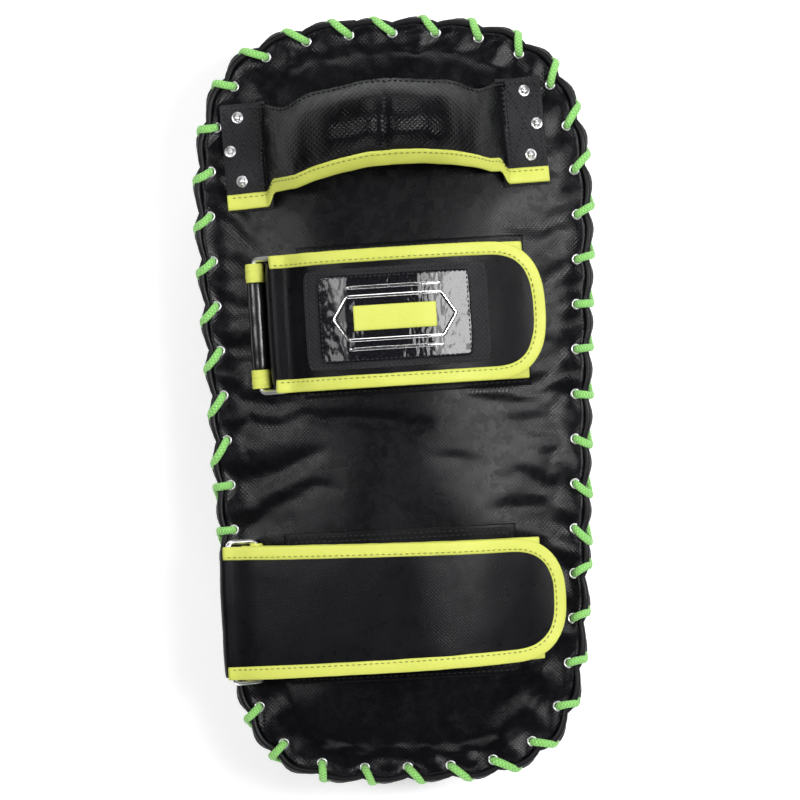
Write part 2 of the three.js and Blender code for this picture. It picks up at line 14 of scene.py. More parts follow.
import bmesh
import bpy
import numpy as np
from mathutils import Matrix, Vector, noise
from mathutils.bvhtree import BVHTree


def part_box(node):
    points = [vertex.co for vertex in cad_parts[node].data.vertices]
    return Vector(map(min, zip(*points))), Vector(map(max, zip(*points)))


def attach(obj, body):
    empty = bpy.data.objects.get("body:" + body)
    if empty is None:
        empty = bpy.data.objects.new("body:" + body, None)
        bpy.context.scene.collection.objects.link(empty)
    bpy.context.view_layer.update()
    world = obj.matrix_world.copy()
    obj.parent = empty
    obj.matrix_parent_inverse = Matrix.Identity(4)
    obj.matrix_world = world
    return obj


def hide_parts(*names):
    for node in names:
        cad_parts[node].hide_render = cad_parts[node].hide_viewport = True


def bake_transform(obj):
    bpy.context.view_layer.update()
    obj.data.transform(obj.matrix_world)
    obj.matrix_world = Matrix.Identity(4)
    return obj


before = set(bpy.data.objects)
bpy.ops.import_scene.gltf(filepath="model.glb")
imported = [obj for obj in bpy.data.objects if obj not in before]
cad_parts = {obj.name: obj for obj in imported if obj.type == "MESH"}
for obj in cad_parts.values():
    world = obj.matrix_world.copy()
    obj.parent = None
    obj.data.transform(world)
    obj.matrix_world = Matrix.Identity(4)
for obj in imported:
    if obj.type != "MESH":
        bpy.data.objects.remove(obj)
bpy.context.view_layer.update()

LOG = logging.getLogger("kick_pad")
MM = 0.001
UP = Vector((0.0, 0.0, 1.0))
Place = Callable[[float, float], Vector]


# ------------------------------------------------------------------------------------ mesh tools
def signed_power(value: float, power: float) -> float:
    """Returns value to a power, keeping its sign."""
    return math.copysign(abs(value) ** power, value)


def smooth_step(low: float, high: float, value: float) -> float:
    """Eases from 0 below low to 1 above high.

    Args:
        low: Where the ease starts.
        high: Where it ends.
        value: The value to ease.

    Returns:
        A number from 0 to 1.
    """
    t = min(1.0, max(0.0, (value - low) / (high - low)))
    return t * t * (3.0 - 2.0 * t)


def surface(columns: int, rows: int, place: Place) -> bmesh.types.BMesh:
    """Lays a grid of quads out by a rule, and joins the edges that meet.

    Args:
        columns: Quads along the first direction.
        rows: Quads along the second direction.
        place: Gives a point for two numbers from 0 to 1.

    Returns:
        The mesh, with the two numbers kept as its UV map.
    """
    bm = bmesh.new()
    bm.loops.layers.uv.new("UVMap")
    bmesh.ops.create_grid(bm, x_segments=columns, y_segments=rows, size=1.0, calc_uvs=True)
    for vert in bm.verts:
        vert.co = place((vert.co.x + 1.0) / 2.0, (vert.co.y + 1.0) / 2.0)
    bmesh.ops.remove_doubles(bm, verts=bm.verts, dist=1e-5)
    return bm


def add_piece(
    name: str,
    bm: bmesh.types.BMesh,
    material: bpy.types.Material,
    slot: str,
    body: Optional[str] = "pad",
    nodes: Sequence[str] = (),
    facing: Optional[Vector] = None,
) -> bpy.types.Object:
    """Makes an object of a bmesh, dresses it and ties it to the frame.

    Args:
        name: The piece's name.
        bm: The mesh, which is freed.
        material: Its finish.
        slot: Not used.
        body: The CAD body it rides on, or None, which leaves it untied.
        nodes: The CAD nodes it stands for.
        facing: On an open sheet, the side that its faces point to.

    Returns:
        The new object.
    """
    bmesh.ops.recalc_face_normals(bm, faces=bm.faces)
    if facing is not None and sum(f.normal.dot(facing) * f.calc_area() for f in bm.faces) < 0:
        bmesh.ops.reverse_faces(bm, faces=bm.faces)
    mesh = bpy.data.meshes.new(name)
    bm.to_mesh(mesh)
    bm.free()
    mesh.polygons.foreach_set("use_smooth", [True] * len(mesh.polygons))
    mesh.materials.append(material)
    obj = bpy.data.objects.new(name, mesh)
    bpy.context.scene.collection.objects.link(obj)
    if body:
        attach(obj, body)
    if nodes:
        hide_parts(*nodes)
    LOG.info("%s: %d faces", name, len(mesh.polygons))
    return obj


def add_thickness(obj: bpy.types.Object, thickness: float, rim: float = 0.0) -> None:
    """Gives a sheet its thickness, below its outer face.

    Args:
        obj: The sheet.
        thickness: In metres.
        rim: Width of the rounding on its cut edges, or 0.
    """
    solid = obj.modifiers.new("thickness", "SOLIDIFY")
    solid.thickness = thickness
    solid.offset = -1.0
    solid.use_even_offset = True
    if rim:
        bevel = obj.modifiers.new("cut_edges", "BEVEL")
        bevel.width = rim
        bevel.segments = 2
        bevel.limit_method = "ANGLE"
        bevel.angle_limit = math.radians(50)


def bake_modifiers(obj: bpy.types.Object) -> None:
    """Replaces a piece's mesh by what its modifiers make of it.

    Args:
        obj: The piece, whose modifiers are cleared.
    """
    graph = bpy.context.evaluated_depsgraph_get()
    mesh = bpy.data.meshes.new_from_object(obj.evaluated_get(graph))
    obj.modifiers.clear()
    old = obj.data
    obj.data = mesh
    mesh.name = obj.name
    bpy.data.meshes.remove(old)


def sweep(
    path: Sequence[Vector],
    sides: int,
    radii: Callable[[float], tuple[float, float]],
    closed: bool = False,
    lift: Optional[Sequence[Vector]] = None,
    power: float = 1.0,
) -> bmesh.types.BMesh:
    """Runs an oval section along a path.

    Args:
        path: The points of the middle line.
        sides: Facets round the section.
        radii: Half width and half height of the section, for a share of the path.
        closed: Whether the path joins its own start.
        lift: The direction of the section's height at each point, or none for a round cord.
        power: 1 for an ellipse, and less for a flatter section.

    Returns:
        The mesh, with closed ends.
    """
    count = len(path)
    steps = count if closed else count - 1
    tangents = []
    for i in range(count):
        before = path[(i - 1) % count] if closed or i else path[0]
        after = path[(i + 1) % count] if closed or i < count - 1 else path[-1]
        tangents.append((after - before).normalized())
    heights = []
    height = tangents[0].orthogonal().normalized() if lift is None else lift[0]
    for i in range(count):
        wanted = height if lift is None else lift[i]
        height = (wanted - tangents[i] * wanted.dot(tangents[i])).normalized()
        heights.append(height)

    def place(along: float, around: float) -> Vector:
        """Returns the section's point at a share of the path and of its round."""
        i = round(along * steps) % count
        angle = around * 2.0 * math.pi
        width, tall = radii(along)
        side = tangents[i].cross(heights[i])
        across = side * (width * signed_power(math.cos(angle), power))
        return path[i] + across + heights[i] * (tall * signed_power(math.sin(angle), power))

    bm = surface(steps, sides, place)
    if not closed:
        bmesh.ops.holes_fill(bm, edges=[e for e in bm.edges if e.is_boundary], sides=0)
    return bm


def even_path(points: Sequence[Vector], step: float) -> list[Vector]:
    """Lays points at equal steps along a broken line.

    Args:
        points: The corners of the line.
        step: The wanted distance between points.

    Returns:
        The new points, both ends included.
    """
    corners = np.array([tuple(p) for p in points])
    lengths = np.concatenate(([0.0], np.cumsum(np.linalg.norm(np.diff(corners, axis=0), axis=1))))
    count = max(2, round(lengths[-1] / step) + 1)
    wanted = np.linspace(0.0, lengths[-1], count)
    columns = [np.interp(wanted, lengths, corners[:, i]) for i in range(3)]
    return [Vector(row) for row in zip(*columns)]


@dataclass(frozen=True)
class Thread:
    """A row of lockstitches."""

    pitch: float = 3.0 * MM
    length: float = 2.1 * MM
    radius: float = 0.33 * MM
    proud: float = 0.08 * MM

    def sew(self, bm: bmesh.types.BMesh, line: Sequence[Vector], normals: Sequence[Vector]) -> None:
        """Adds the stitches of one seam.

        Args:
            bm: The mesh that takes the stitches.
            line: The seam's points on the leather.
            normals: The leather's outward direction at each point.
        """
        points = np.array([tuple(p) for p in line])
        lengths = np.concatenate(([0.0], np.cumsum(np.linalg.norm(np.diff(points, axis=0), axis=1))))
        count = max(1, int(lengths[-1] / self.pitch))
        ups = np.array([tuple(n) for n in normals])
        for k in range(count):
            middle = (k + 0.5) * lengths[-1] / count
            ends = [middle - self.length / 2.0, middle + self.length / 2.0]
            low, high = (Vector([np.interp(e, lengths, points[:, i]) for i in range(3)]) for e in ends)
            up = Vector([np.interp(middle, lengths, ups[:, i]) for i in range(3)]).normalized()
            ahead = (high - low).normalized()
            side = up.cross(ahead).normalized()
            up = ahead.cross(side)
            centre = (low + high) / 2.0 + up * self.proud
            turn = Matrix((ahead * self.length / 2.0, side * self.radius, up * self.radius)).transposed()
            bmesh.ops.create_icosphere(
                bm, subdivisions=1, radius=1.0, matrix=Matrix.Translation(centre) @ turn.to_4x4()
            )


@dataclass
class Stuffing:
    """A short run of Blender's cloth that puffs a padded piece up between its seams."""

    pressure: float = 4.0
    swell: float = 0.0
    frames: int = 20
    cap: float = 3.0 * MM
    stiffness: float = 15.0
    bending: float = 0.5

    def puff(self, obj: bpy.types.Object, held: dict[int, float]) -> None:
        """Runs the cloth and keeps its result, with each point's travel capped.

        Args:
            obj: The piece, which takes the new shape.
            held: How firmly each vertex is held, from 0 to 1.
        """
        mesh = obj.data
        before = np.empty(len(mesh.vertices) * 3)
        mesh.vertices.foreach_get("co", before)
        group = obj.vertex_groups.new(name="held")
        for index, weight in held.items():
            group.add([index], weight, "REPLACE")
        cloth = obj.modifiers.new("stuffing", "CLOTH")
        cloth.point_cache.frame_start = 1
        cloth.point_cache.frame_end = self.frames
        settings = cloth.settings
        settings.quality = 6
        settings.mass = 0.2
        settings.tension_stiffness = self.stiffness
        settings.compression_stiffness = self.stiffness
        settings.bending_stiffness = self.bending
        settings.shrink_min = -self.swell
        settings.vertex_group_mass = "held"
        settings.pin_stiffness = 2.0
        settings.use_pressure = True
        settings.uniform_pressure_force = self.pressure
        settings.effector_weights.gravity = 0.0
        scene = bpy.context.scene
        for number in range(1, self.frames + 1):
            scene.frame_set(number)
        graph = bpy.context.evaluated_depsgraph_get()
        result = obj.evaluated_get(graph).to_mesh()
        after = np.empty_like(before)
        result.vertices.foreach_get("co", after)
        obj.evaluated_get(graph).to_mesh_clear()
        obj.modifiers.remove(cloth)
        obj.vertex_groups.remove(group)
        scene.frame_set(1)
        travel = (after - before).reshape(-1, 3)
        size = np.linalg.norm(travel, axis=1, keepdims=True)
        travel *= np.minimum(1.0, self.cap / np.maximum(size, 1e-9))
        mesh.vertices.foreach_set("co", before + travel.ravel())
        mesh.update()
        LOG.info("%s: cloth moved it by up to %.1f mm", obj.name, float(size.max()) / MM)


# ------------------------------------------------------------------------------------ finishes
class Graph:
    """The nodes of one material."""

    def __init__(self, name: str) -> None:
        """Starts a material with its shader.

        Args:
            name: The material's name.
        """
        self.material = bpy.data.materials.new(name)
        self.material.use_nodes = True
        self.nodes = self.material.node_tree.nodes
        self.shader = self.nodes["Principled BSDF"]

    def add(self, kind: str, **options: object) -> bpy.types.Node:
        """Adds a node and sets its options.

        Args:
            kind: Its type, without the ShaderNode prefix.
            options: Its properties by name.

        Returns:
            The node.
        """
        node = self.nodes.new(f"ShaderNode{kind}")
        for key, value in options.items():
            setattr(node, key, value)
        return node

    def link(self, source: bpy.types.NodeSocket, target: bpy.types.NodeSocket) -> None:
        """Joins two sockets."""
        self.material.node_tree.links.new(source, target)

    def maths(self, operation: str, first: object, second: object = 0.0) -> bpy.types.NodeSocket:
        """Adds a Math node.

        Args:
            operation: Its operation.
            first: A socket or a number.
            second: A socket or a number.

        Returns:
            The result's socket.
        """
        node = self.add("Math", operation=operation)
        for socket, value in zip(node.inputs, (first, second)):
            if isinstance(value, bpy.types.NodeSocket):
                self.link(value, socket)
            else:
                socket.default_value = value
        return node.outputs[0]

    def place(
        self, uv: bool = False, scale: Sequence[float] = (1.0, 1.0, 1.0)
    ) -> bpy.types.NodeSocket:
        """Gives the coordinates that a pattern reads.

        Args:
            uv: Whether they are the piece's own UV map, or else its Object coordinates.
            scale: Their scale.

        Returns:
            The vector's socket.
        """
        source = self.add("TexCoord").outputs["UV" if uv else "Object"]
        mapping = self.add("Mapping")
        mapping.inputs["Scale"].default_value = scale
        self.link(source, mapping.inputs["Vector"])
        return mapping.outputs["Vector"]

    def noise(
        self, vector: bpy.types.NodeSocket, scale: float, detail: float = 3.0, rough: float = 0.55
    ) -> bpy.types.NodeSocket:
        """Adds a noise texture and returns its grey value.

        Args:
            vector: The coordinates it reads.
            scale: Its lumps to the metre.
            detail: Its octaves.
            rough: How much the finer octaves count.

        Returns:
            The grey value's socket.
        """
        node = self.add("TexNoise")
        node.inputs["Scale"].default_value = scale
        node.inputs["Detail"].default_value = detail
        node.inputs["Roughness"].default_value = rough
        self.link(vector, node.inputs["Vector"])
        return node.outputs["Fac"]

    def cells(self, vector: bpy.types.NodeSocket, scale: float) -> bpy.types.NodeSocket:
        """Adds a smooth cell texture and returns the distance to the cell's middle.

        Args:
            vector: The coordinates it reads.
            scale: Its cells to the metre.

        Returns:
            The distance's socket.
        """
        node = self.add("TexVoronoi", feature="SMOOTH_F1")
        node.inputs["Scale"].default_value = scale
        node.inputs["Smoothness"].default_value = 0.35
        self.link(vector, node.inputs["Vector"])
        return node.outputs["Distance"]

    def ramp(
        self, factor: bpy.types.NodeSocket, stops: Sequence[tuple[float, Sequence[float]]]
    ) -> bpy.types.NodeSocket:
        """Turns a grey value into a colour.

        Args:
            factor: The grey value.
            stops: Positions and their colours.

        Returns:
            The colour's socket.
        """
        node = self.add("ValToRGB")
        elements = node.color_ramp.elements
        while len(elements) < len(stops):
            elements.new(0.5)
        for element, (position, color) in zip(elements, stops):
            element.position = position
            element.color = (*color, 1.0)
        self.link(factor, node.inputs["Fac"])
        return node.outputs["Color"]

    def span(
        self, factor: bpy.types.NodeSocket, low: float, high: float, start: float = 0.3, end: float = 0.7
    ) -> bpy.types.NodeSocket:
        """Maps a grey value between start and end to a range.

        Args:
            factor: The grey value.
            low: The result at start.
            high: The result at end.
            start: Where the range starts.
            end: Where it ends.

        Returns:
            The result's socket.
        """
        node = self.add("MapRange")
        for name, value in (("From Min", start), ("From Max", end), ("To Min", low), ("To Max", high)):
            node.inputs[name].default_value = value
        self.link(factor, node.inputs["Value"])
        return node.outputs["Result"]

    def bumps(self, layers: Sequence[tuple[bpy.types.NodeSocket, float]]) -> None:
        """Stacks height layers on the surface.

        Args:
            layers: Each height's socket and its depth in metres.
        """
        normal = None
        for height, depth in layers:
            node = self.add("Bump")
            node.inputs["Strength"].default_value = 1.0
            node.inputs["Distance"].default_value = depth
            self.link(height, node.inputs["Height"])
            if normal:
                self.link(normal, node.inputs["Normal"])
            normal = node.outputs["Normal"]
        self.link(normal, self.shader.inputs["Normal"])

    def set(self, **values: object) -> None:
        """Sets the shader's own sockets, named with _ for a space."""
        for key, value in values.items():
            self.shader.inputs[key.replace("_", " ")].default_value = value


class Emboss(Enum):
    """How a leather's face is pressed."""

    PLAIN = "plain"
    DIAMOND = "diamond"
    PEBBLE = "pebble"


@dataclass(frozen=True)
class Leather:
    """Coated leather with a pressed grain, fine pores and a little rubbing."""

    name: str
    color: tuple[float, float, float]
    rubbed: tuple[float, float, float]
    roughness: float = 0.42
    emboss: Emboss = Emboss.PEBBLE
    pitch: float = 1.5 * MM
    depth: float = 0.12 * MM
    crease_depth: float = 0.25 * MM
    coat: float = 0.0
    specular: float = 0.17

    def grain(self, graph: Graph) -> bpy.types.NodeSocket:
        """Returns the height of the pressed pattern.

        Args:
            graph: The material's nodes.

        Returns:
            The height's socket.
        """
        if self.emboss is Emboss.DIAMOND:
            separate = graph.add("SeparateXYZ")
            graph.link(graph.place(), separate.inputs[0])
            across, along = separate.outputs[0], separate.outputs[1]
            ribs = []
            for operation in ("ADD", "SUBTRACT"):
                diagonal = graph.maths(operation, across, along)
                turned = graph.maths("MULTIPLY", diagonal, math.pi / (self.pitch * math.sqrt(2.0)))
                ribs.append(graph.maths("ABSOLUTE", graph.maths("SINE", turned)))
            return graph.maths("MINIMUM", ribs[0], ribs[1])
        scale = 1.0 / self.pitch if self.emboss is Emboss.PEBBLE else 0.6 / self.pitch
        return graph.cells(graph.place(), scale)

    def build(self) -> bpy.types.Material:
        """Returns the leather as a material."""
        graph = Graph(self.name)
        where = graph.place()
        grain = self.grain(graph)
        pores = graph.noise(where, 2600.0, 2.0)
        creases = graph.noise(where, 95.0, 5.0, 0.6)
        cloudy = graph.noise(where, 32.0, 4.0)
        graph.link(graph.ramp(cloudy, ((0.35, self.color), (0.72, self.rubbed))),
                   graph.shader.inputs["Base Color"])
        dull = graph.noise(where, 210.0, 4.0, 0.65)
        graph.link(graph.span(dull, self.roughness - 0.07, self.roughness + 0.1),
                   graph.shader.inputs["Roughness"])
        graph.bumps(((creases, self.crease_depth), (grain, self.depth), (pores, 0.02 * MM)))
        graph.set(Coat_Weight=self.coat, Coat_Roughness=0.25, Specular_IOR_Level=self.specular)
        return graph.material


@dataclass(frozen=True)
class Braid:
    """A soft braided cord, read along its own length, with painted shade in the grooves between its strands.
    """

    name: str = "lace_braid"
    light: tuple[float, float, float] = (0.36, 0.80, 0.21)
    dark: tuple[float, float, float] = (0.17, 0.50, 0.09)
    strands: float = 4.0
    length: float = 2.6
    pitch: float = 2.4 * MM

    def build(self) -> bpy.types.Material:
        """Returns the braid as a material."""
        graph = Graph(self.name)
        separate = graph.add("SeparateXYZ")
        turns = self.length / self.pitch
        graph.link(graph.place(True, (turns * math.pi, self.strands * math.pi, 1.0)), separate.inputs[0])
        along, around = separate.outputs[0], separate.outputs[1]
        rights = graph.maths("ABSOLUTE", graph.maths("SINE", graph.maths("ADD", along, around)))
        lefts = graph.maths("ABSOLUTE", graph.maths("SINE", graph.maths("SUBTRACT", along, around)))
        weave = graph.maths("MULTIPLY", rights, lefts)
        fibres = graph.noise(graph.place(), 1900.0, 3.0)
        mixed = graph.maths("ADD", graph.maths("MULTIPLY", weave, 0.75), graph.maths("MULTIPLY", fibres, 0.3))
        # The ramp gives the weave's grooves the dark green and its raised strands the light green: painted
        # shade in the grooves, mixed with random fibre tone.
        graph.link(graph.ramp(mixed, ((0.12, self.dark), (0.5, self.light))),
                   graph.shader.inputs["Base Color"])
        graph.bumps(((weave, 0.3 * MM), (fibres, 0.1 * MM)))
        graph.set(Roughness=0.72, Sheen_Weight=0.25, Sheen_Roughness=0.5)
        return graph.material


@dataclass(frozen=True)
class Twist:
    """Sewing thread."""

    name: str
    color: tuple[float, float, float]

    def build(self) -> bpy.types.Material:
        """Returns the thread as a material."""
        graph = Graph(self.name)
        strands = graph.noise(graph.place(), 2400.0, 2.0)
        darker = tuple(0.55 * c for c in self.color)
        graph.link(graph.ramp(strands, ((0.35, darker), (0.6, self.color))),
                   graph.shader.inputs["Base Color"])
        graph.bumps(((strands, 0.08 * MM),))
        graph.set(Roughness=0.6, Sheen_Weight=0.15)
        return graph.material


@dataclass(frozen=True)
class Plate:
    """Bright nickel or chrome, with faint handling marks."""

    name: str
    color: tuple[float, float, float] = (0.83, 0.83, 0.84)
    roughness: float = 0.16

    def build(self) -> bpy.types.Material:
        """Returns the metal as a material."""
        graph = Graph(self.name)
        where = graph.place()
        marks = graph.noise(where, 480.0, 4.0, 0.7)
        graph.link(graph.span(marks, self.roughness, self.roughness + 0.14), graph.shader.inputs["Roughness"])
        tint = tuple(0.82 * c for c in self.color)
        graph.link(graph.ramp(graph.noise(where, 70.0), ((0.3, tint), (0.65, self.color))),
                   graph.shader.inputs["Base Color"])
        graph.bumps(((marks, 0.0012 * MM),))
        graph.set(Metallic=1.0)
        return graph.material


@dataclass(frozen=True)
class Pile:
    """Hook or loop tape, or open foam: short fibres or pores all over."""

    name: str
    color: tuple[float, float, float]
    scale: float = 1400.0
    depth: float = 0.35 * MM
    sheen: float = 0.3

    def build(self) -> bpy.types.Material:
        """Returns the pile as a material."""
        graph = Graph(self.name)
        where = graph.place()
        tufts = graph.cells(where, self.scale)
        darker = tuple(0.35 * c for c in self.color)
        graph.link(graph.ramp(tufts, ((0.1, self.color), (0.7, darker))), graph.shader.inputs["Base Color"])
        graph.bumps(((tufts, self.depth),))
        graph.set(Roughness=0.95, Sheen_Weight=self.sheen)
        return graph.material


@dataclass(frozen=True)
class Patent:
    """Thick gloss coating on leather, slightly uneven like all patent leather."""

    name: str = "badge_patent"
    color: tuple[float, float, float] = (0.006, 0.006, 0.008)

    def build(self) -> bpy.types.Material:
        """Returns the gloss as a material."""
        graph = Graph(self.name)
        where = graph.place()
        ripple = graph.noise(graph.place(scale=(1.0, 0.45, 1.0)), 75.0, 3.0, 0.6)
        dust = graph.noise(where, 900.0, 3.0, 0.7)
        graph.link(graph.ramp(dust, ((0.4, self.color), (0.8, (0.02, 0.02, 0.024)))),
                   graph.shader.inputs["Base Color"])
        graph.link(graph.span(dust, 0.08, 0.2, 0.45, 0.8), graph.shader.inputs["Roughness"])
        graph.bumps(((ripple, 1.3 * MM),))
        graph.set(Coat_Weight=0.2, Coat_Roughness=0.06, Specular_IOR_Level=0.16)
        return graph.material


BLACK = (0.0031, 0.0031, 0.0042)
BLACK_RUBBED = (0.0058, 0.0058, 0.0075)
LIME = (0.67, 0.72, 0.12)
LIME_RUBBED = (0.75, 0.79, 0.155)


@dataclass
class Finishes:
    """Every finish of the pad, made once."""

    hide: bpy.types.Material = field(init=False)
    wall: bpy.types.Material = field(init=False)
    strap: bpy.types.Material = field(init=False)
    grip: bpy.types.Material = field(init=False)
    tab: bpy.types.Material = field(init=False)
    piping: bpy.types.Material = field(init=False)
    lime: bpy.types.Material = field(init=False)
    gloss_black: bpy.types.Material = field(init=False)
    patent: bpy.types.Material = field(init=False)
    lace: bpy.types.Material = field(init=False)
    black_thread: bpy.types.Material = field(init=False)
    lime_thread_painted_shade: bpy.types.Material = field(init=False)
    nickel: bpy.types.Material = field(init=False)
    chrome: bpy.types.Material = field(init=False)
    tape: bpy.types.Material = field(init=False)
    soft_foam: bpy.types.Material = field(init=False)
    dense_foam: bpy.types.Material = field(init=False)

    def __post_init__(self) -> None:
        """Builds the materials."""
        diamond = Emboss.DIAMOND
        self.hide = Leather("back_hide", BLACK, BLACK_RUBBED, 0.25, diamond, 1.4 * MM, 0.05 * MM,
                            0.16 * MM).build()
        self.wall = Leather("wall_hide", BLACK, BLACK_RUBBED, 0.38).build()
        self.strap = Leather("strap_hide", BLACK, BLACK_RUBBED, 0.31, diamond, 1.3 * MM, 0.05 * MM,
                             0.14 * MM, specular=0.13).build()
        self.grip = Leather("grip_hide", (0.003, 0.003, 0.0035), (0.006, 0.006, 0.0075), 0.27, diamond,
                            1.9 * MM, 0.11 * MM, 0.14 * MM, specular=0.14).build()
        self.tab = Leather("tab_hide", (0.018, 0.018, 0.020), (0.034, 0.034, 0.038), 0.46, diamond,
                           1.8 * MM, 0.24 * MM).build()
        self.piping = Leather("piping_hide", (0.008, 0.008, 0.009), (0.016, 0.016, 0.018), 0.34,
                              Emboss.PLAIN, 1.2 * MM, 0.05 * MM).build()
        self.lime = Leather("lime_hide", LIME, LIME_RUBBED, 0.46, Emboss.PLAIN, 1.1 * MM, 0.07 * MM,
                            0.22 * MM, specular=0.3).build()
        self.gloss_black = Leather("keeper_hide", (0.007, 0.007, 0.008), (0.012, 0.012, 0.013), 0.2,
                                   Emboss.PLAIN, 1.6 * MM, 0.03 * MM, 0.1 * MM, 0.6).build()
        self.patent = Patent().build()
        self.lace = Braid().build()
        self.black_thread = Twist("black_thread", (0.006, 0.006, 0.007)).build()
        # The lime seam thread is coloured a darker olive than the lime leather: painted shade of the stitch
        # holes it lies sunk in.
        self.lime_thread_painted_shade = Twist("lime_thread_painted_shade", (0.30, 0.34, 0.045)).build()
        self.nickel = Plate("nickel_plate", roughness=0.27).build()
        self.chrome = Plate("bright_plate", (0.9, 0.9, 0.92), 0.08).build()
        self.tape = Pile("closure_pile", (0.014, 0.014, 0.016)).build()
        self.soft_foam = Pile("soft_foam", (0.34, 0.36, 0.38), 700.0, 0.3 * MM, 0.05).build()
        self.dense_foam = Pile("dense_foam", (0.05, 0.05, 0.055), 1100.0, 0.15 * MM, 0.05).build()


# ------------------------------------------------------------------------------------ the pad's form
@dataclass(frozen=True)
class Outline:
    """The pad seen from above: two superellipses that share one tapering width."""

    half_width: float = 103 * MM
    half_length: float = 198 * MM
    taper: float = 0.42
    taper_start: float = 100 * MM
    grip_end: tuple[float, float] = (2.8, 6.8)
    elbow_end: tuple[float, float] = (3.5, 7.4)
    true_inset: float = 20 * MM
    samples: int = 4096

    def width_share(self, y: float) -> float:
        """Returns how much of the full width is left at a point along the pad."""
        return 1.0 - self.taper * max(0.0, self.taper_start - y)

    def at(self, t: float, inset: float) -> Vector:
        """Returns the outline's point at a parameter, moved in by inset.

        Args:
            t: The superellipse's parameter, in radians from +X.
            inset: How far in from the outline.

        Returns:
            The point, at height 0.
        """
        across, along = self.grip_end if math.sin(t) >= 0 else self.elbow_end
        y = (self.half_length - inset) * signed_power(math.sin(t), 2.0 / along)
        x = (self.half_width * self.width_share(y) - inset) * signed_power(math.cos(t), 2.0 / across)
        return Vector((x, y, 0.0))

    @cached_property
    def turns(self) -> np.ndarray:
        """Sampled parameters, crowded where the superellipse runs fastest."""
        part = np.linspace(0.0, 1.0, self.samples // 4, endpoint=False)
        eased = part**3.4 / (part**3.4 + (1.0 - part) ** 3.4)
        quarters = [(quarter + eased) * math.pi / 2.0 for quarter in range(4)]
        return np.concatenate((*quarters, [2.0 * math.pi]))

    @cached_property
    def lengths(self) -> np.ndarray:
        """The length of the outline up to each sample."""
        points = np.array([tuple(self.at(t, 0.0)) for t in self.turns])
        return np.concatenate(([0.0], np.cumsum(np.linalg.norm(np.diff(points, axis=0), axis=1))))

    def parameter(self, share: float) -> float:
        """Returns the parameter at a share of the outline's length, from +X towards +Y."""
        wanted = (share % 1.0) * self.lengths[-1]
        return float(np.interp(wanted, self.lengths, self.turns))

    def ring(self, share: float, radius: float) -> Vector:
        """Returns a point of one of the rings that fill the outline.

        Args:
            share: Share of the ring's length.
            radius: Its half width: half_width at the rim, and 0 in the middle.

        Returns:
            The point, at height 0.
        """
        inset = self.half_width - radius
        t = self.parameter(share)
        if inset <= self.true_inset:
            return self.at(t, inset)
        return self.at(t, self.true_inset) * (radius / (self.half_width - self.true_inset))

    def rim(self, share: float, inset: float, z: float) -> Vector:
        """Returns a point at a height, moved in from the rim by inset.

        Args:
            share: Share of the rim.
            inset: How far in from the rim.
            z: The height.

        Returns:
            The point.
        """
        point = self.ring(share, self.half_width - inset)
        point.z = z
        return point

    def outward(self, share: float) -> Vector:
        """Returns the direction out of the pad at a share of the rim."""
        ahead = self.ring(share + 0.001, self.half_width) - self.ring(share - 0.001, self.half_width)
        return Vector((ahead.y, -ahead.x, 0.0)).normalized()


@dataclass(frozen=True)
class PadSizes:
    """Heights and insets of the seams, as the frame has them."""

    outline: Outline = Outline()
    sheet: float = 1.8 * MM
    rim_top: float = 86 * MM
    crown: float = 14 * MM
    crown_inset: float = 12.5 * MM
    crown_power: float = 2.2
    back_edge: float = 4.4 * MM
    laces: int = 44
    lace_inset: float = 7.2 * MM
    bulge: float = 1.9 * MM

    def crown_at(self, radius: float) -> float:
        """Returns the height of the padded back on a ring."""
        share = min(1.0, radius / (self.outline.half_width - self.crown_inset))
        return self.rim_top + self.crown * (1.0 - share**self.crown_power) ** 1.2

    def swell(self, share: float) -> float:
        """Returns how far the rim stands out of the outline: full between laces and pinched at them.

        Args:
            share: Share of the rim.

        Returns:
            The distance, which is below 0 where a lace pinches the rim.
        """
        open_part = abs(math.sin(math.pi * self.laces * share)) ** 0.9
        uneven = 0.25 * noise.noise(Vector((share * 37.0, 2.0, 0.0)))
        return self.bulge * (1.0 + uneven) * open_part - 0.9 * MM * (1.0 - open_part)

    def lace_wave(self, share: float) -> float:
        """Returns 1 at a lace hole and -1 half way between two."""
        return math.cos(2.0 * math.pi * self.laces * share)


@dataclass
class PadPanel:
    """A sewn panel that fills the outline, laid out in rings of quads round its middle."""

    sizes: PadSizes
    across: int = 64
    along: int = 124

    def share_and_reach(self, u: float, v: float) -> tuple[float, float]:
        """Turns a place in the square grid into a place on a ring.

        Args:
            u: Across, from 0 to 1.
            v: Along, from 0 to 1.

        Returns:
            The share of the ring's length, and how far out the ring is, from 0 to 1.
        """
        s, t = 2.0 * u - 1.0, 2.0 * v - 1.0
        reach = max(abs(s), abs(t))
        if reach < 1e-6:
            return 0.0, 0.0
        s, t = s / reach, t / reach
        a, b = self.across / 2.0, self.along / 2.0
        if s > 0 and abs(s) >= abs(t):
            distance = t * b
        elif t > 0 and abs(t) >= abs(s):
            distance = b + (1.0 - s) * a
        elif s < 0 and abs(s) >= abs(t):
            distance = b + 2.0 * a + (1.0 - t) * b
        else:
            distance = 3.0 * b + 2.0 * a + (1.0 + s) * a
        return distance / (4.0 * (a + b)), reach

    def build(self, place: Callable[[float, float], Vector]) -> bmesh.types.BMesh:
        """Lays the panel out, with place giving a point for a ring's share and reach."""
        return surface(self.across, self.along, lambda u, v: place(*self.share_and_reach(u, v)))


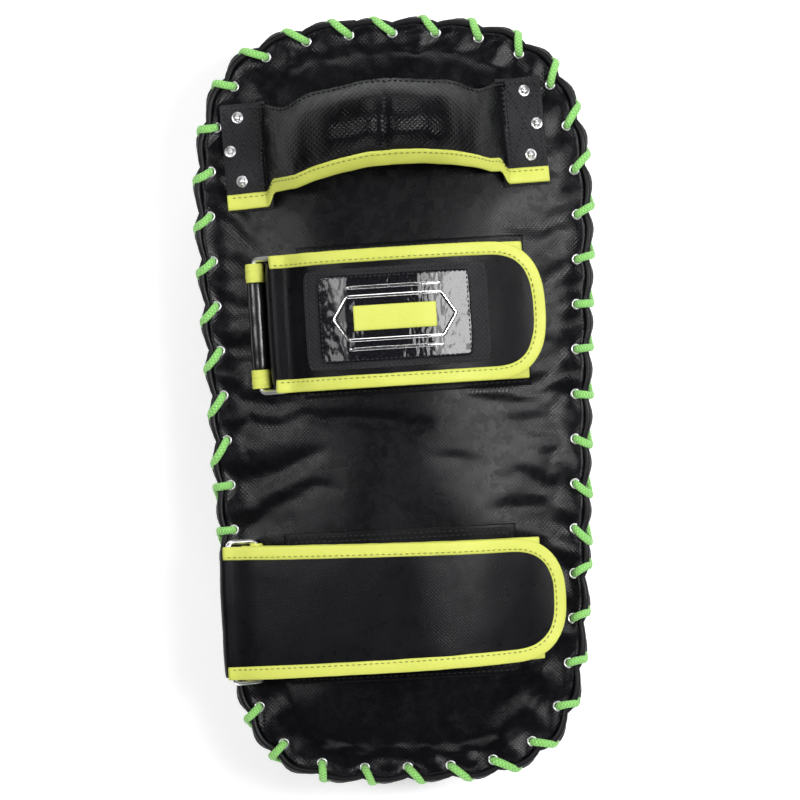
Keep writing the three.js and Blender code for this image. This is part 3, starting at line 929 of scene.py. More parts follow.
@dataclass
class PaddedBody:
    """The covers, the foam in them and the piping between them."""

    sizes: PadSizes
    finishes: Finishes
    rim_columns: int = 352
    ground_tree: Optional[BVHTree] = None

    def build(self) -> None:
        """Builds the pieces from the floor up."""
        self.strike_panel()
        self.foams()
        self.side_wall()
        self.pipings()
        self.back_cover()
        self.eyelets()

    def ripple(self, share: float, depth: float, seed: float) -> float:
        """Returns creases that run in from the rim.

        Args:
            share: Share of the rim.
            depth: Distance in from the seam, in metres.
            seed: Picks another set of creases.

        Returns:
            A height from about -1 to 1.
        """
        turn = share * 2.0 * math.pi
        where = Vector((14.0 * math.cos(turn), 14.0 * math.sin(turn), depth / (26.0 * MM) + seed))
        return noise.noise(where) * math.exp(-depth / (15.0 * MM))

    def back_cover(self) -> None:
        """Builds the padded back: puckered at the laces, puffed by cloth, then subdivided."""
        sizes, outline = self.sizes, self.sizes.outline
        edge = outline.half_width - sizes.back_edge
        rim = 12 * MM

        def place(share: float, reach: float) -> Vector:
            """Returns a point of the back."""
            radius = reach * edge
            depth = edge - radius
            outer = smooth_step(rim, 0.0, depth)
            point = outline.ring(share, radius + 0.8 * outer * sizes.swell(share))
            pucker = -0.9 * MM * sizes.lace_wave(share) * math.exp(-((depth - 6 * MM) / (8 * MM)) ** 2)
            folds = 2.6 * MM * self.ripple(share, depth, 0.0)
            slack = 0.9 * MM * noise.noise(point / (40.0 * MM)) * smooth_step(0, 20 * MM, depth)
            point.z = sizes.crown_at(radius) + (pucker + folds) * smooth_step(0, 5 * MM, depth) + slack
            point.z += 0.9 * MM * math.exp(-((depth / (2.2 * MM)) ** 2))
            return point

        bm = PadPanel(sizes).build(place)
        cover = add_piece("back_cover_hide", bm, self.finishes.hide, "smooth_leather",
                          nodes=("back_cover",), facing=UP)
        held = {}
        sewn_below = sizes.rim_top + 0.6 * MM
        for vert in cover.data.vertices:
            if vert.co.z < sewn_below:
                held[vert.index] = 1.0
        Stuffing(pressure=2.0, swell=0.008, cap=1.5 * MM).puff(cover, held)
        smooth = cover.modifiers.new("smooth", "SUBSURF")
        smooth.levels = smooth.render_levels = 1
        bake_modifiers(cover)
        cover.data.polygons.foreach_set("use_smooth", [True] * len(cover.data.polygons))
        self.ground_tree = BVHTree.FromPolygons(
            [v.co.copy() for v in cover.data.vertices], [tuple(p.vertices) for p in cover.data.polygons]
        )
        add_thickness(cover, sizes.sheet)

    def ground(self, x: float, y: float) -> float:
        """Returns the height of the finished back under a point."""
        hit = self.ground_tree.ray_cast(Vector((x, y, 0.3)), -UP)
        return hit[0].z if hit[0] else self.sizes.rim_top

    def ground_normal(self, x: float, y: float) -> Vector:
        """Returns the smooth normal of the back round a point.

        Args:
            x: Across the pad.
            y: Along the pad.

        Returns:
            The normal.
        """
        step = 4 * MM
        dx = (self.ground(x + step, y) - self.ground(x - step, y)) / (2 * step)
        dy = (self.ground(x, y + step) - self.ground(x, y - step)) / (2 * step)
        return Vector((-dx, -dy, 1.0)).normalized()

    def profile_shell(self, name: str, profile: Sequence[tuple[float, float]], rows: int) -> None:
        """Runs a closed profile of insets and heights round the rim, with the wall's puckers.

        Args:
            name: The piece's name.
            profile: Insets and heights in millimetres, first up the outer face and then down the inner one.
            rows: Quads round the profile.
        """
        sizes, outline = self.sizes, self.sizes.outline
        corners = [Vector((inset * MM, z * MM, 0.0)) for inset, z in [*profile, profile[0]]]
        lengths = np.concatenate(([0.0], np.cumsum([(b - a).length for a, b in zip(corners, corners[1:])])))
        insets, heights = [c.x for c in corners], [c.y for c in corners]

        def place(share: float, around: float) -> Vector:
            """Returns a point of the wall."""
            at = around * lengths[-1]
            inset = float(np.interp(at, lengths, insets))
            z = float(np.interp(at, lengths, heights))
            outer = smooth_step(9 * MM, 3 * MM, inset)
            flange = smooth_step(79 * MM, 81 * MM, z) * outer
            neck = math.exp(-((z - 74 * MM) / (9 * MM)) ** 2)
            inset += 0.8 * MM * neck * sizes.lace_wave(share)
            inset -= flange * sizes.swell(share)
            if 24 * MM < z < 80 * MM and around < 0.5:
                inset += 2.4 * MM * self.ripple(share, 80 * MM - z, 7.0)
                inset += 0.6 * MM * noise.noise(Vector((share * 30.0, z / (30 * MM), 3.0)))
            return outline.rim(share, inset, z)

        bm = surface(self.rim_columns, rows, place)
        wall = add_piece(name, bm, self.finishes.wall, "smooth_leather", nodes=("side_wall",))

    def side_wall(self) -> None:
        """Builds the swelling wall and the flange that it turns out into."""
        profile = (
            (6.6, 16.6), (4.8, 17.0), (3.9, 26.0), (3.4, 38.0), (3.9, 52.0), (5.6, 63.0), (8.2, 69.5),
            (11.2, 74.0), (13.6, 77.2), (14.6, 79.4), (14.0, 80.9), (9.0, 80.9), (4.0, 80.9),
            (1.0, 81.0), (0.2, 81.8), (1.0, 82.6), (9.0, 82.7), (16.6, 82.6), (16.4, 79.0),
            (12.5, 73.2), (7.6, 64.0), (5.6, 52.0), (5.2, 38.0), (5.6, 26.0),
        )
        self.profile_shell("side_wall_hide", profile, 96)

    def strike_panel(self) -> None:
        """Builds the strike face, flat where it rests, with its rounded border."""
        sizes, outline = self.sizes, self.sizes.outline
        flat = 84.0 / 98.0
        border = ((18.0, 0.0), (13.5, 0.6), (9.6, 2.6), (7.0, 5.6), (5.5, 9.0), (4.8, 12.2))

        def place(share: float, reach: float) -> Vector:
            """Returns a point of the strike face."""
            if reach <= flat:
                radius = outline.half_width - 18 * MM
                point = outline.ring(share, radius * reach / flat)
                return point
            at = (reach - flat) / (1.0 - flat) * (len(border) - 1)
            inset = float(np.interp(at, range(len(border)), [b[0] for b in border]))
            z = float(np.interp(at, range(len(border)), [b[1] for b in border]))
            return outline.rim(share, inset * MM, z * MM)

        bm = PadPanel(sizes).build(place)
        panel = add_piece("strike_face_hide", bm, self.finishes.hide, "smooth_leather",
                          nodes=("strike_panel",), facing=-UP)
        add_thickness(panel, sizes.sheet)

    def bead(self, name: str, inset: float, z: float, radius: float, wave: float, node: str) -> None:
        """Builds a round bead of piping.

        Args:
            name: The piece's name.
            inset: Of its middle, from the rim.
            z: Its height.
            radius: Of the bead.
            wave: How much of the rim's swell it follows.
            node: The CAD node it stands for.
        """
        count = self.rim_columns
        path = []
        for i in range(count):
            share = i / count
            pulled = inset - wave * self.sizes.swell(share)
            path.append(self.sizes.outline.rim(share, pulled, z + 0.25 * wave * self.sizes.swell(share)))
        bm = sweep(path, 14, lambda along: (radius, radius), closed=True, lift=[UP] * count)
        add_piece(name, bm, self.finishes.piping, "piping", nodes=(node,))

    def pipings(self) -> None:
        """Builds the two beads of piping and the seam where the upper one is joined."""
        self.bead("strike_bead", 4.5 * MM, 14.6 * MM, 2.1 * MM, 0.0, "strike_piping")
        self.bead("edge_bead", 2.4 * MM, 84.6 * MM, 1.75 * MM, 0.8, "edge_piping")
        outline = self.sizes.outline
        path = [outline.rim(0.268 + 0.0014 * i, 1.4 * MM, 84.9 * MM) for i in range(8)]
        bm = sweep(path, 14, lambda along: (2.05 * MM, 2.05 * MM), lift=[UP] * 8)
        add_piece("edge_bead_joint", bm, self.finishes.piping, "piping")

    def foams(self) -> None:
        """Builds the three layers of foam, which the covers hide."""
        layers = (
            ("strike_foam", self.finishes.soft_foam, "soft_foam",
             ((0.0, 2.3), (19.0, 2.3), (12.4, 4.1), (8.6, 8.2), (7.6, 14.0), (7.0, 30.0), (0.0, 30.0))),
            ("core_foam", self.finishes.dense_foam, "dense_foam",
             ((0.0, 30.4), (7.0, 30.4), (7.0, 42.0), (8.0, 56.0), (0.0, 56.0))),
            ("back_foam", self.finishes.soft_foam, "soft_foam",
             ((0.0, 56.4), (8.0, 56.4), (9.4, 63.0), (14.6, 72.0), (19.0, 77.0), (30.0, 81.0),
              (60.0, 90.5), (0.0, 94.0))),
        )
        outline = self.sizes.outline
        for name, material, slot, profile in layers:
            last = len(profile) - 1
            wide = outline.half_width

            def radius_of(index: int) -> float:
                """Returns the ring's radius at a corner of the profile."""
                return 0.0 if index in (0, last) else wide - profile[index][0] * MM

            def place(share: float, down: float) -> Vector:
                """Returns a point of the block."""
                at = down * last
                index = min(last - 1, int(at))
                part = at - index
                radius = radius_of(index) + (radius_of(index + 1) - radius_of(index)) * part
                z = profile[index][1] + (profile[index + 1][1] - profile[index][1]) * part
                point = outline.ring(share, radius)
                point.z = z * MM
                return point

            block = add_piece(f"{name}_block", surface(128, last * 3, place), material, slot, nodes=(name,))

    def eyelets(self) -> None:
        """Builds the plated eyelets that the lace runs through."""
        whole = bmesh.new()
        for i in range(self.sizes.laces):
            at = self.sizes.outline.rim(i / self.sizes.laces, self.sizes.lace_inset, 0.0)
            at.z = self.ground(at.x, at.y) + 0.25 * MM
            ring = [at + Vector((math.cos(a), math.sin(a), 0.0)) * 2.35 * MM
                    for a in np.linspace(0.0, 2.0 * math.pi, 14, endpoint=False)]
            part = sweep(ring, 6, lambda along: (0.5 * MM, 0.4 * MM), closed=True, lift=[UP] * 14)
            mesh = bpy.data.meshes.new("eyelet")
            part.to_mesh(mesh)
            part.free()
            whole.from_mesh(mesh)
            bpy.data.meshes.remove(mesh)
        add_piece("lace_eyelets", whole, self.finishes.nickel, "nickel")


@dataclass
class RimLace:
    """The flat soft cord whipped round the rim through the eyelets."""

    sizes: PadSizes
    finishes: Finishes
    body: PaddedBody
    width: float = 2.05 * MM
    height: float = 1.45 * MM
    # Share of the rim, and how much of a step the cord gains on its visible side there.
    leans: tuple[tuple[float, float], ...] = (
        (0.0, -0.06), (0.09, 0.0), (0.13, 0.35), (0.17, 0.5), (0.25, 0.62), (0.33, 0.4), (0.38, 0.6),
        (0.45, 0.7), (0.525, 0.72), (0.535, -0.13), (0.64, -0.1), (0.68, 0.0), (0.71, 0.4), (0.8, 0.65),
        (0.86, 0.6), (0.92, 0.55), (0.93, -0.3), (0.97, -0.18), (1.0, -0.06),
    )
    lean_scale: float = 0.62

    def build(self) -> None:
        """Builds the whole cord."""
        sizes, outline = self.sizes, self.sizes.outline
        picks = random.Random(12)
        knots: list[Vector] = []
        faces: list[Vector] = []
        for i in range(sizes.laces):
            share = i / sizes.laces
            lean = float(np.interp(share, *zip(*self.leans))) * self.lean_scale
            lean += picks.uniform(-0.05, 0.05)
            hole = outline.rim(share, sizes.lace_inset, 0.0)
            top = self.body.ground(hole.x, hole.y) / MM
            slack = picks.uniform(0.0, 0.4)
            back = 1.0 - lean
            stations = (
                (7.4, 79.6, 0.0, -80.0), (7.4, 83.5, 0.0, -80.0), (6.7, top + 0.9, 0.06 * lean, -35.0),
                (4.4, 88.0 + slack, 0.4 * lean, 0.0), (1.6, 87.4 + slack, 0.72 * lean, 20.0),
                (-0.5 - slack, 84.4, 0.95 * lean, 75.0), (-0.3 - slack, 81.4, lean + 0.06 * back, 100.0),
                (1.6, 78.9, lean + 0.34 * back, 150.0), (4.6, 78.4, lean + 0.66 * back, 180.0),
                (6.6, 78.5, lean + 0.92 * back, 220.0),
            )
            for inset, z, ahead, facing in stations:
                at = share + ahead / sizes.laces
                knots.append(outline.rim(at, inset * MM, z * MM))
                turn = math.radians(facing)
                faces.append(outline.outward(at) * math.sin(turn) + UP * math.cos(turn))
        path, lifts = self.rounded(knots[:-1], faces[:-1])

        def radii(along: float) -> tuple[float, float]:
            """Returns the cord's half width and height, a little uneven."""
            uneven = 1.0 + 0.1 * noise.noise(Vector((along * 140.0, 0.0, 0.0)))
            return self.width * uneven, self.height * (2.0 - uneven)

        bm = sweep(path, 12, radii, lift=lifts, power=0.85)
        add_piece("rim_lace_cord", bm, self.finishes.lace, "lace", nodes=("rim_lace",))

    def rounded(
        self, knots: Sequence[Vector], faces: Sequence[Vector]
    ) -> tuple[list[Vector], list[Vector]]:
        """Rounds a broken line off with a Catmull-Rom curve through its corners.

        Args:
            knots: The corners.
            faces: The flat side's direction at each corner.

        Returns:
            The curve's points and the directions at them.
        """
        points, lifts = [], []
        last = len(knots) - 1
        for i in range(last):
            a, b, c, d = (knots[min(last, max(0, i + k))] for k in (-1, 0, 1, 2))
            for k in range(3):
                t = k / 3.0
                points.append(0.5 * ((2 * b) + (c - a) * t + (2 * a - 5 * b + 4 * c - d) * t**2
                                     + (3 * b - a - 3 * c + d) * t**3))
                lifts.append(faces[i].lerp(faces[i + 1], t).normalized())
        return [*points, knots[-1]], [*lifts, faces[-1]]


@dataclass
class Handle:
    """The riveted grip: a leather strip over foam, raised into an arch for the hand."""

    finishes: Finishes
    body: PaddedBody
    x: float = -3.5 * MM
    y: float = 132.8 * MM
    skew: float = math.radians(3.3)
    half_length: float = 83.5 * MM
    grip_half: float = 62.5 * MM
    half_width: float = 27.2 * MM
    lift: float = 32 * MM
    roll: float = 20 * MM
    binding_share: float = 0.3
    leather: float = 2.2 * MM
    clearance: float = 2.1 * MM

    def grip_share(self, x: float) -> float:
        """Returns 0 over the tabs and 1 at the top of the arch."""
        return max(0.0, 1.0 - (abs(x) / self.grip_half) ** 2) ** 0.75

    def flat(self, x: float, y: float) -> Vector:
        """Turns a place on the strip into one on the pad."""
        cosine, sine = math.cos(self.skew), math.sin(self.skew)
        return Vector((self.x + x * cosine - y * sine, self.y + x * sine + y * cosine, 0.0))

    def point(self, x: float, across: float, height: float) -> Vector:
        """Returns a point of the strip.

        Args:
            x: Along the strip from its middle.
            across: From -1 at the elbow side to 1 at the rim side.
            height: Above the strip's resting face.

        Returns:
            The point on the pad.
        """
        grip = self.grip_share(x)
        low, high = self.edges(x)
        place = self.flat(x, (low + high) / 2.0 + across * (high - low) / 2.0)
        open_part = max(0.0, 1.0 - across**2)
        rise = self.roll * grip * (1.0 - min(1.0, abs(across)) ** 2.5)
        lobes = sum(math.exp(-((x - middle * MM) / (15 * MM)) ** 2) for middle in (-21, 24))
        fold = math.exp(-((x - (1.0 + 2.0 * across) * MM) / (2.8 * MM)) ** 2)
        creases = noise.noise(Vector((x / (11 * MM), across * 1.3, 5.0)))
        twist = math.exp(-((x - 53 * MM) / (5 * MM)) ** 2) * across
        place.z = self.body.ground(place.x, place.y) + self.lift * grip + rise + height
        place.z += (2.6 * lobes - 3.2 * fold + 2.4 * creases) * MM * grip * open_part + 1.6 * MM * twist
        return place

    def edges(self, x: float) -> tuple[float, float]:
        """Returns where the strip's two long edges lie across, at a place along it.

        Args:
            x: Along the strip.

        Returns:
            The lower and the higher edge.
        """
        step = smooth_step(self.grip_half, self.grip_half - 4.5 * MM, abs(x))
        wave = 0.5 * MM * step * math.sin(x / (5.3 * MM)) * noise.noise(Vector((x / (20 * MM), 9.0, 0.0)))
        arch = max(0.0, 1.0 - ((x - 3 * MM) / (50 * MM)) ** 2)
        low = -self.half_width + 6.7 * MM * step + 6.2 * MM * arch + 2.0 * wave
        neck = math.exp(-(((abs(x) - 50 * MM) / (9 * MM)) ** 2))
        high = self.half_width - 5.0 * MM * neck + 2.8 * MM * math.exp(-((x / (20 * MM)) ** 2)) + wave
        return low, high

    def normal(self, x: float, across: float) -> Vector:
        """Returns the strip's outward direction at a place.

        Args:
            x: Along the strip.
            across: Share of its half width.

        Returns:
            The direction.
        """
        ahead = self.point(x + 1 * MM, across, 0.0) - self.point(x - 1 * MM, across, 0.0)
        side = self.point(x, across + 0.04, 0.0) - self.point(x, across - 0.04, 0.0)
        return ahead.cross(side).normalized()

    def shell(
        self, name: str, half: float, low: float, high: float, bottom: float, top: float,
        material: bpy.types.Material, slot: str, node: str, rows: int = 40, power: float = 0.35,
    ) -> bpy.types.Object:
        """Builds a strip with rounded long edges between two shares of the width.

        Args:
            name: The piece's name.
            half: Half its length.
            low: Share of the width at its elbow side.
            high: Share of the width at its rim side.
            bottom: Height of its lower face above the back.
            top: Height of its upper face.
            material: Its finish.
            slot: Its material slot.
            node: The CAD node it stands for.
            rows: Facets round its section.
            power: Flatness of the section.

        Returns:
            The strip.
        """
        middle, reach = (low + high) / 2.0, (high - low) / 2.0
        centre, tall = (bottom + top) / 2.0, (top - bottom) / 2.0

        def place(along: float, around: float) -> Vector:
            """Returns a point of the strip's skin."""
            eased = math.sin((along - 0.5) * math.pi)
            x = half * (0.35 * eased + 0.65 * (2.0 * along - 1.0))
            angle = around * 2.0 * math.pi
            across = middle + reach * signed_power(math.cos(angle), power)
            return self.point(x, across, centre + tall * signed_power(math.sin(angle), power))

        bm = surface(132, rows, place)
        bmesh.ops.holes_fill(bm, edges=[e for e in bm.edges if e.is_boundary], sides=0)
        return add_piece(name, bm, material, slot, nodes=(node,))

    def build(self) -> None:
        """Builds the grip, its foam, its tabs, patches, stitches and rivets."""
        low, high = self.clearance, self.clearance + self.leather
        edge = -1.0 + self.binding_share
        finishes = self.finishes
        sleeve = self.shell("grip_sleeve", self.half_length, edge - 0.08, 1.0, low, high + 0.4 * MM,
                            finishes.grip, "smooth_leather", "handle_sleeve", 72)
        sleeve.data.materials.append(finishes.tab)
        for face in sleeve.data.polygons:
            face.material_index = int(abs(face.center.x - self.x) > self.grip_half + 0.5 * MM)
        held = {v.index: 1.0 for v in sleeve.data.vertices if abs(v.co.x - self.x) > 55 * MM}
        for vert in sleeve.data.vertices:
            held.setdefault(vert.index, 0.25)
        Stuffing(pressure=3.0, swell=0.008, cap=1.3 * MM, frames=14).puff(sleeve, held)
        self.shell("grip_binding", self.half_length, -1.0, edge, low - 0.5 * MM, high + 1.3 * MM,
                   finishes.lime, "lime_leather", "handle_binding", 28, 0.55)
        foam = self.shell("grip_foam", 46 * MM, edge + 0.06, 0.76, -0.6 * MM, low - 1.3 * MM,
                          finishes.soft_foam, "soft_foam", "handle_foam", 28, 0.45)
        self.patches()
        self.stitches()
        self.rivets()

    def patches(self) -> None:
        """Builds the panel sewn under each tab."""
        length = self.half_length - self.grip_half + 2 * MM
        for side, word in ((-1.0, "left"), (1.0, "right")):
            middle = side * (self.half_length - 0.6 * MM - length / 2.0)

            def place(u: float, v: float) -> Vector:
                """Returns a point of the panel's upper face."""
                spot = self.flat(middle + (u - 0.5) * length, (v - 0.5) * (2.0 * self.half_width + 2 * MM))
                spot.z = self.body.ground(spot.x, spot.y) + 1.5 * MM
                return spot

            patch = add_piece(f"tab_patch_{word}", surface(14, 28, place), self.finishes.tab,
                              "textured_leather", nodes=(f"handle_patch_{word}",), facing=UP)
            add_thickness(patch, 1.2 * MM, 0.4 * MM)

    def tab_line(self, corners: Sequence[tuple[float, float]]) -> tuple[list[Vector], list[Vector]]:
        """Lays a seam on the strip through places given as along and across.

        Args:
            corners: Places along the strip, with their shares of its half width.

        Returns:
            The seam's points and the leather's outward directions.
        """
        places = [Vector((x, across * self.half_width, 0.0)) for x, across in corners]
        top = self.clearance + self.leather + 0.75 * MM
        points, normals = [], []
        for place in even_path(places, 1.5 * MM):
            across = place.y / self.half_width
            points.append(self.point(place.x, across, top))
            normals.append(self.normal(place.x, across))
        return points, normals

    def stitches(self) -> None:
        """Sews a crossed box on each tab, and the rows along the grip's edges."""
        thread = Thread(2.9 * MM, 2.2 * MM, 0.4 * MM)
        bm = bmesh.new()
        inner, outer = self.grip_half + 2.5 * MM, self.half_length - 2.2 * MM
        for side in (-1.0, 1.0):
            a, b = side * inner, side * outer
            box = ((a, -0.62), (b, -0.62), (b, 0.92), (a, 0.92), (a, -0.62))
            for line in (box, ((a, -0.62), (b, 0.92)), ((b, -0.62), (a, 0.92))):
                thread.sew(bm, *self.tab_line(line))
        thread.sew(bm, *self.tab_line(((-outer, 0.93), (outer, 0.93))))
        add_piece("grip_stitches", bm, self.finishes.black_thread, "smooth_leather")
        bm = bmesh.new()
        points, normals = self.tab_line(((-outer, -0.77), (outer, -0.77)))
        raised = [point + normal * 0.55 * MM for point, normal in zip(points, normals)]
        Thread().sew(bm, raised, normals)
        add_piece("grip_binding_stitches", bm, self.finishes.lime_thread_painted_shade, "lime_leather")

    def rivets(self) -> None:
        """Builds the domed rivets with their collars."""
        profile = ((0.0, 2.0), (0.8, 1.9), (1.5, 1.5), (1.9, 0.9), (2.1, 0.62), (2.6, 0.72), (3.0, 0.55),
                   (3.15, 0.25), (3.1, -0.1), (1.5, -0.2), (1.5, -6.6), (0.0, -6.6))
        for word in ("left", "right"):
            for number in (1, 2, 3):
                node = f"handle_rivet_{word}_{number}"
                low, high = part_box(node)
                x, y = (low[0] + high[0]) / 2.0, (low[1] + high[1]) / 2.0
                seat = self.body.ground(x, y) + self.clearance + self.leather + 0.45 * MM
                turn = UP.rotation_difference(self.body.ground_normal(x, y)).to_matrix().to_4x4()
                bm = bmesh.new()
                verts = [bm.verts.new((r * MM, 0.0, z * MM)) for r, z in profile]
                edges = [bm.edges.new(pair) for pair in zip(verts, verts[1:])]
                bmesh.ops.spin(bm, geom=[*verts, *edges], cent=(0, 0, 0), axis=(0, 0, 1),
                               angle=2.0 * math.pi, steps=32, use_merge=True)
                bmesh.ops.remove_doubles(bm, verts=bm.verts, dist=1e-5)
                bm.transform(Matrix.Translation((x, y, seat)) @ turn)
                add_piece(f"tab_rivet_{word}_{number}", bm, self.finishes.nickel, "nickel", nodes=(node,))


class StrapKind(Enum):
    """Which way the strap's ring points in its keeper."""

    RING_RIGHT = 1
    RING_LEFT = -1


@dataclass
class Strap:
    """A forearm strap: base, ring, fold and flap, closed by hook and loop."""

    name: str
    finishes: Finishes
    body: PaddedBody
    kind: StrapKind
    y: float
    skew: float
    keeper_x: float
    keeper_radius: float
    bar_z: float
    fold_inner: float
    anchor_x: float
    tip_x: float
    patch: tuple[float, float]
    ring_half: float
    width_scale: float = 1.0
    taper: float = 0.0
    base_gap: float = 4.2 * MM
    fold_leg: float = 3.2 * MM
    ring_play: float = 0.0
    lip_slope: float = 0.15
    half_width: float = 35.5 * MM
    flap_thickness: float = 2.6 * MM
    layer_offset: float = 3.5 * MM
    ring_span: float = 14 * MM
    ring_corner: float = 2.6 * MM
    wire: float = 1.9 * MM
    flap_end: float = 30 * MM

    def __post_init__(self) -> None:
        """Reads the strap's line from the frame's own flap, and the keeper's height from its ring."""
        self.bar_x = self.keeper_x + self.kind.value * self.ring_span
        low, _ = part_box(f"{self.name}_ring")
        self.keeper_z = low[2] + self.wire
        tree = self.node_tree(f"{self.name}_strap_flap")
        xs, zs = [], []
        for x in np.linspace(self.bar_x + 9 * MM, self.tip_x - 6 * MM, 70):
            start = self.world(x, 0.0, 0.3)
            hit = tree.ray_cast(start, -UP)
            if hit[0]:
                xs.append(x)
                zs.append(hit[0].z - self.flap_thickness / 2.0)
        self.line = np.polynomial.Polynomial.fit(xs, zs, 6)
        self.line_start = xs[0]

    def node_tree(self, node: str) -> BVHTree:
        """Returns a tree of a CAD node's faces, for rays."""
        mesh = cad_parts[node].data
        return BVHTree.FromPolygons([v.co for v in mesh.vertices], [tuple(p.vertices) for p in mesh.polygons])

    def world(self, x: float, y: float, z: float) -> Vector:
        """Turns a place in the strap's own frame into one on the pad."""
        cosine, sine = math.cos(self.skew), math.sin(self.skew)
        return Vector((x * cosine - y * sine, self.y + x * sine + y * cosine, z))

    def height(self, x: float) -> float:
        """Returns the height of the flap's middle line, joined smoothly to the fold's upper lip.

        Args:
            x: Along the strap.

        Returns:
            The height.
        """
        lip_x, lip_z = self.bar_x + 1 * MM, self.bar_z + self.layer_offset
        if x >= self.line_start + 6 * MM:
            return float(self.line(x))
        end_x = self.line_start + 6 * MM
        end_z = float(self.line(end_x))
        slope = float(self.line.deriv()(end_x))
        t = max(0.0, (x - lip_x) / (end_x - lip_x))
        span = end_x - lip_x
        return ((2 * t**3 - 3 * t**2 + 1) * lip_z + (t**3 - 2 * t**2 + t) * span * self.lip_slope
                + (-2 * t**3 + 3 * t**2) * end_z + (t**3 - t**2) * span * slope)

    def flap_route(self) -> list[Vector]:
        """Returns the flap's middle line in its own frame: round the ring's bar, then over the arch."""
        inner = self.layer_offset - 1.2 * MM
        centre = self.bar_x + inner - self.wire - self.fold_inner
        points = [Vector((self.bar_x + self.fold_leg, 0.0, self.bar_z - self.layer_offset))]
        for angle in np.linspace(-90.0, -270.0, 19):
            turn = math.radians(angle)
            points.append(Vector((centre + self.layer_offset * math.cos(turn), 0.0,
                                  self.bar_z + self.layer_offset * math.sin(turn))))
        for x in np.linspace(self.bar_x + 1 * MM, self.tip_x - 1.8 * MM, 80):
            points.append(Vector((x, 0.0, self.height(x))))
        return even_path(points, 1.3 * MM)

    def base_route(self) -> list[Vector]:
        """Returns the base's middle line in its own frame."""
        start = self.bar_x + self.base_gap
        first = self.bar_z - self.layer_offset
        points = []
        for x in np.linspace(start, self.anchor_x, 90):
            z = self.height(x) - 2.0 * self.layer_offset
            blend = smooth_step(self.bar_x + 2 * MM, self.bar_x + 16 * MM, x)
            points.append(Vector((x, 0.0, first + (z - first) * blend)))
        return even_path(points, 1.6 * MM)

    @staticmethod
    def normals(route: Sequence[Vector]) -> list[Vector]:
        """Returns the upward side of a route at each point, in its own frame.

        Args:
            route: The route's points.

        Returns:
            The directions.
        """
        result = []
        for i in range(len(route)):
            ahead = route[min(len(route) - 1, i + 1)] - route[max(0, i - 1)]
            result.append(Vector((-ahead.z, 0.0, ahead.x)).normalized())
        return result

    def half_at(self, x: float, rounded: bool, margin: float) -> float:
        """Returns the strap's half width, less a margin, at a place along it.

        Args:
            x: Along the strap.
            rounded: Whether the end is round.
            margin: Distance in from the edge.

        Returns:
            The half width there.
        """
        half = self.edge_at(x) - margin
        if not rounded:
            return half
        into = (x - (self.tip_x - self.flap_end)) / (self.flap_end - margin)
        into = min(1.0, max(0.0, into))
        return half * (1.0 - into**2.6) ** (1.0 / 2.6)

    def edge_at(self, x: float) -> float:
        """Returns the strap's half width, which tapers towards its tip."""
        share = min(1.0, max(0.0, (x - self.bar_x) / (self.tip_x - self.bar_x)))
        return self.half_width * self.width_scale * (1.0 - self.taper * share)

    def let_in(self, spot: Vector) -> float:
        """Returns how far the edges are let in at a point of the fold, to clear the ring's ends.

        Args:
            spot: The point, in the strap's own frame.

        Returns:
            The distance.
        """
        free = self.edge_at(spot.x) - (self.ring_half - self.wire - 0.5 * MM)
        below = smooth_step(self.bar_z + self.layer_offset - 0.4 * MM, self.bar_z + 1.6 * MM, spot.z)
        near = smooth_step(self.bar_x + 9 * MM, self.bar_x + 6 * MM, spot.x)
        return max(0.0, free) * below * near

    def leather_sheet(
        self, name: str, route: Sequence[Vector], rounded: bool, thickness: float, nodes: Sequence[str],
        body: Optional[str],
    ) -> bpy.types.Object:
        """Builds a strap layer along a route, a little fuller between its edges.

        Args:
            name: The piece's name.
            route: Its middle line in the strap's own frame.
            rounded: Whether its far end is round.
            thickness: At its edges.
            nodes: The CAD nodes it stands for.
            body: The body it rides on, or None.

        Returns:
            The layer.
        """
        ups = self.normals(route)
        steps = len(route) - 1

        def place(along: float, around: float) -> Vector:
            """Returns a point of the layer's skin."""
            i = round(along * steps)
            angle = around * 2.0 * math.pi
            half = self.half_at(route[i].x, rounded and i > 20, 1.2 * MM) - self.let_in(route[i])
            y = half * signed_power(math.cos(angle), 0.5)
            level = signed_power(math.sin(angle), 0.3)
            full = 0.45 * MM * (1.0 - (y / self.half_width) ** 2) if level > 0 else 0.0
            full += 0.35 * MM * noise.noise(Vector((route[i].x, y, 0.0)) / (16 * MM))
            spot = route[i] + ups[i] * (level * thickness / 2.0 + full)
            return self.world(spot.x, y, spot.z)

        bm = surface(steps, 56, place)
        bmesh.ops.holes_fill(bm, edges=[e for e in bm.edges if e.is_boundary], sides=0)
        return add_piece(name, bm, self.finishes.strap, "smooth_leather", body=body, nodes=nodes)

    def edge_route(
        self, route: Sequence[Vector], rounded: bool, margin: float, sides: Sequence[float]
    ) -> tuple[list[Vector], list[Vector]]:
        """Follows a layer's edges at a margin.

        Args:
            route: The layer's middle line.
            rounded: Whether to go round the far end, from one edge to the other.
            margin: Distance in from the edge.
            sides: The edge or edges to follow: 1 towards the grip and -1 away from it.

        Returns:
            Points and upward directions, on the pad.
        """
        ups = self.normals(route)
        xs = [p.x for p in route[30:]] if rounded else []
        start = self.tip_x - self.flap_end
        points, lifts = [], []

        def add(index: float, y: float) -> None:
            """Adds the point of the route at an index, at a place across."""
            low = min(len(route) - 2, max(0, int(index)))
            part = index - low
            spot = route[low].lerp(route[low + 1], part)
            up = ups[low].lerp(ups[low + 1], part)
            turned = self.world(up.x, 0.0, up.z) - self.world(0.0, 0.0, 0.0)
            points.append(self.world(spot.x, y, spot.z))
            lifts.append(Vector((turned.x, turned.y, up.z)).normalized())

        def half(i: int) -> float:
            """Returns the half width at the route's point i."""
            return self.edge_at(route[i].x) - margin - self.let_in(route[i])

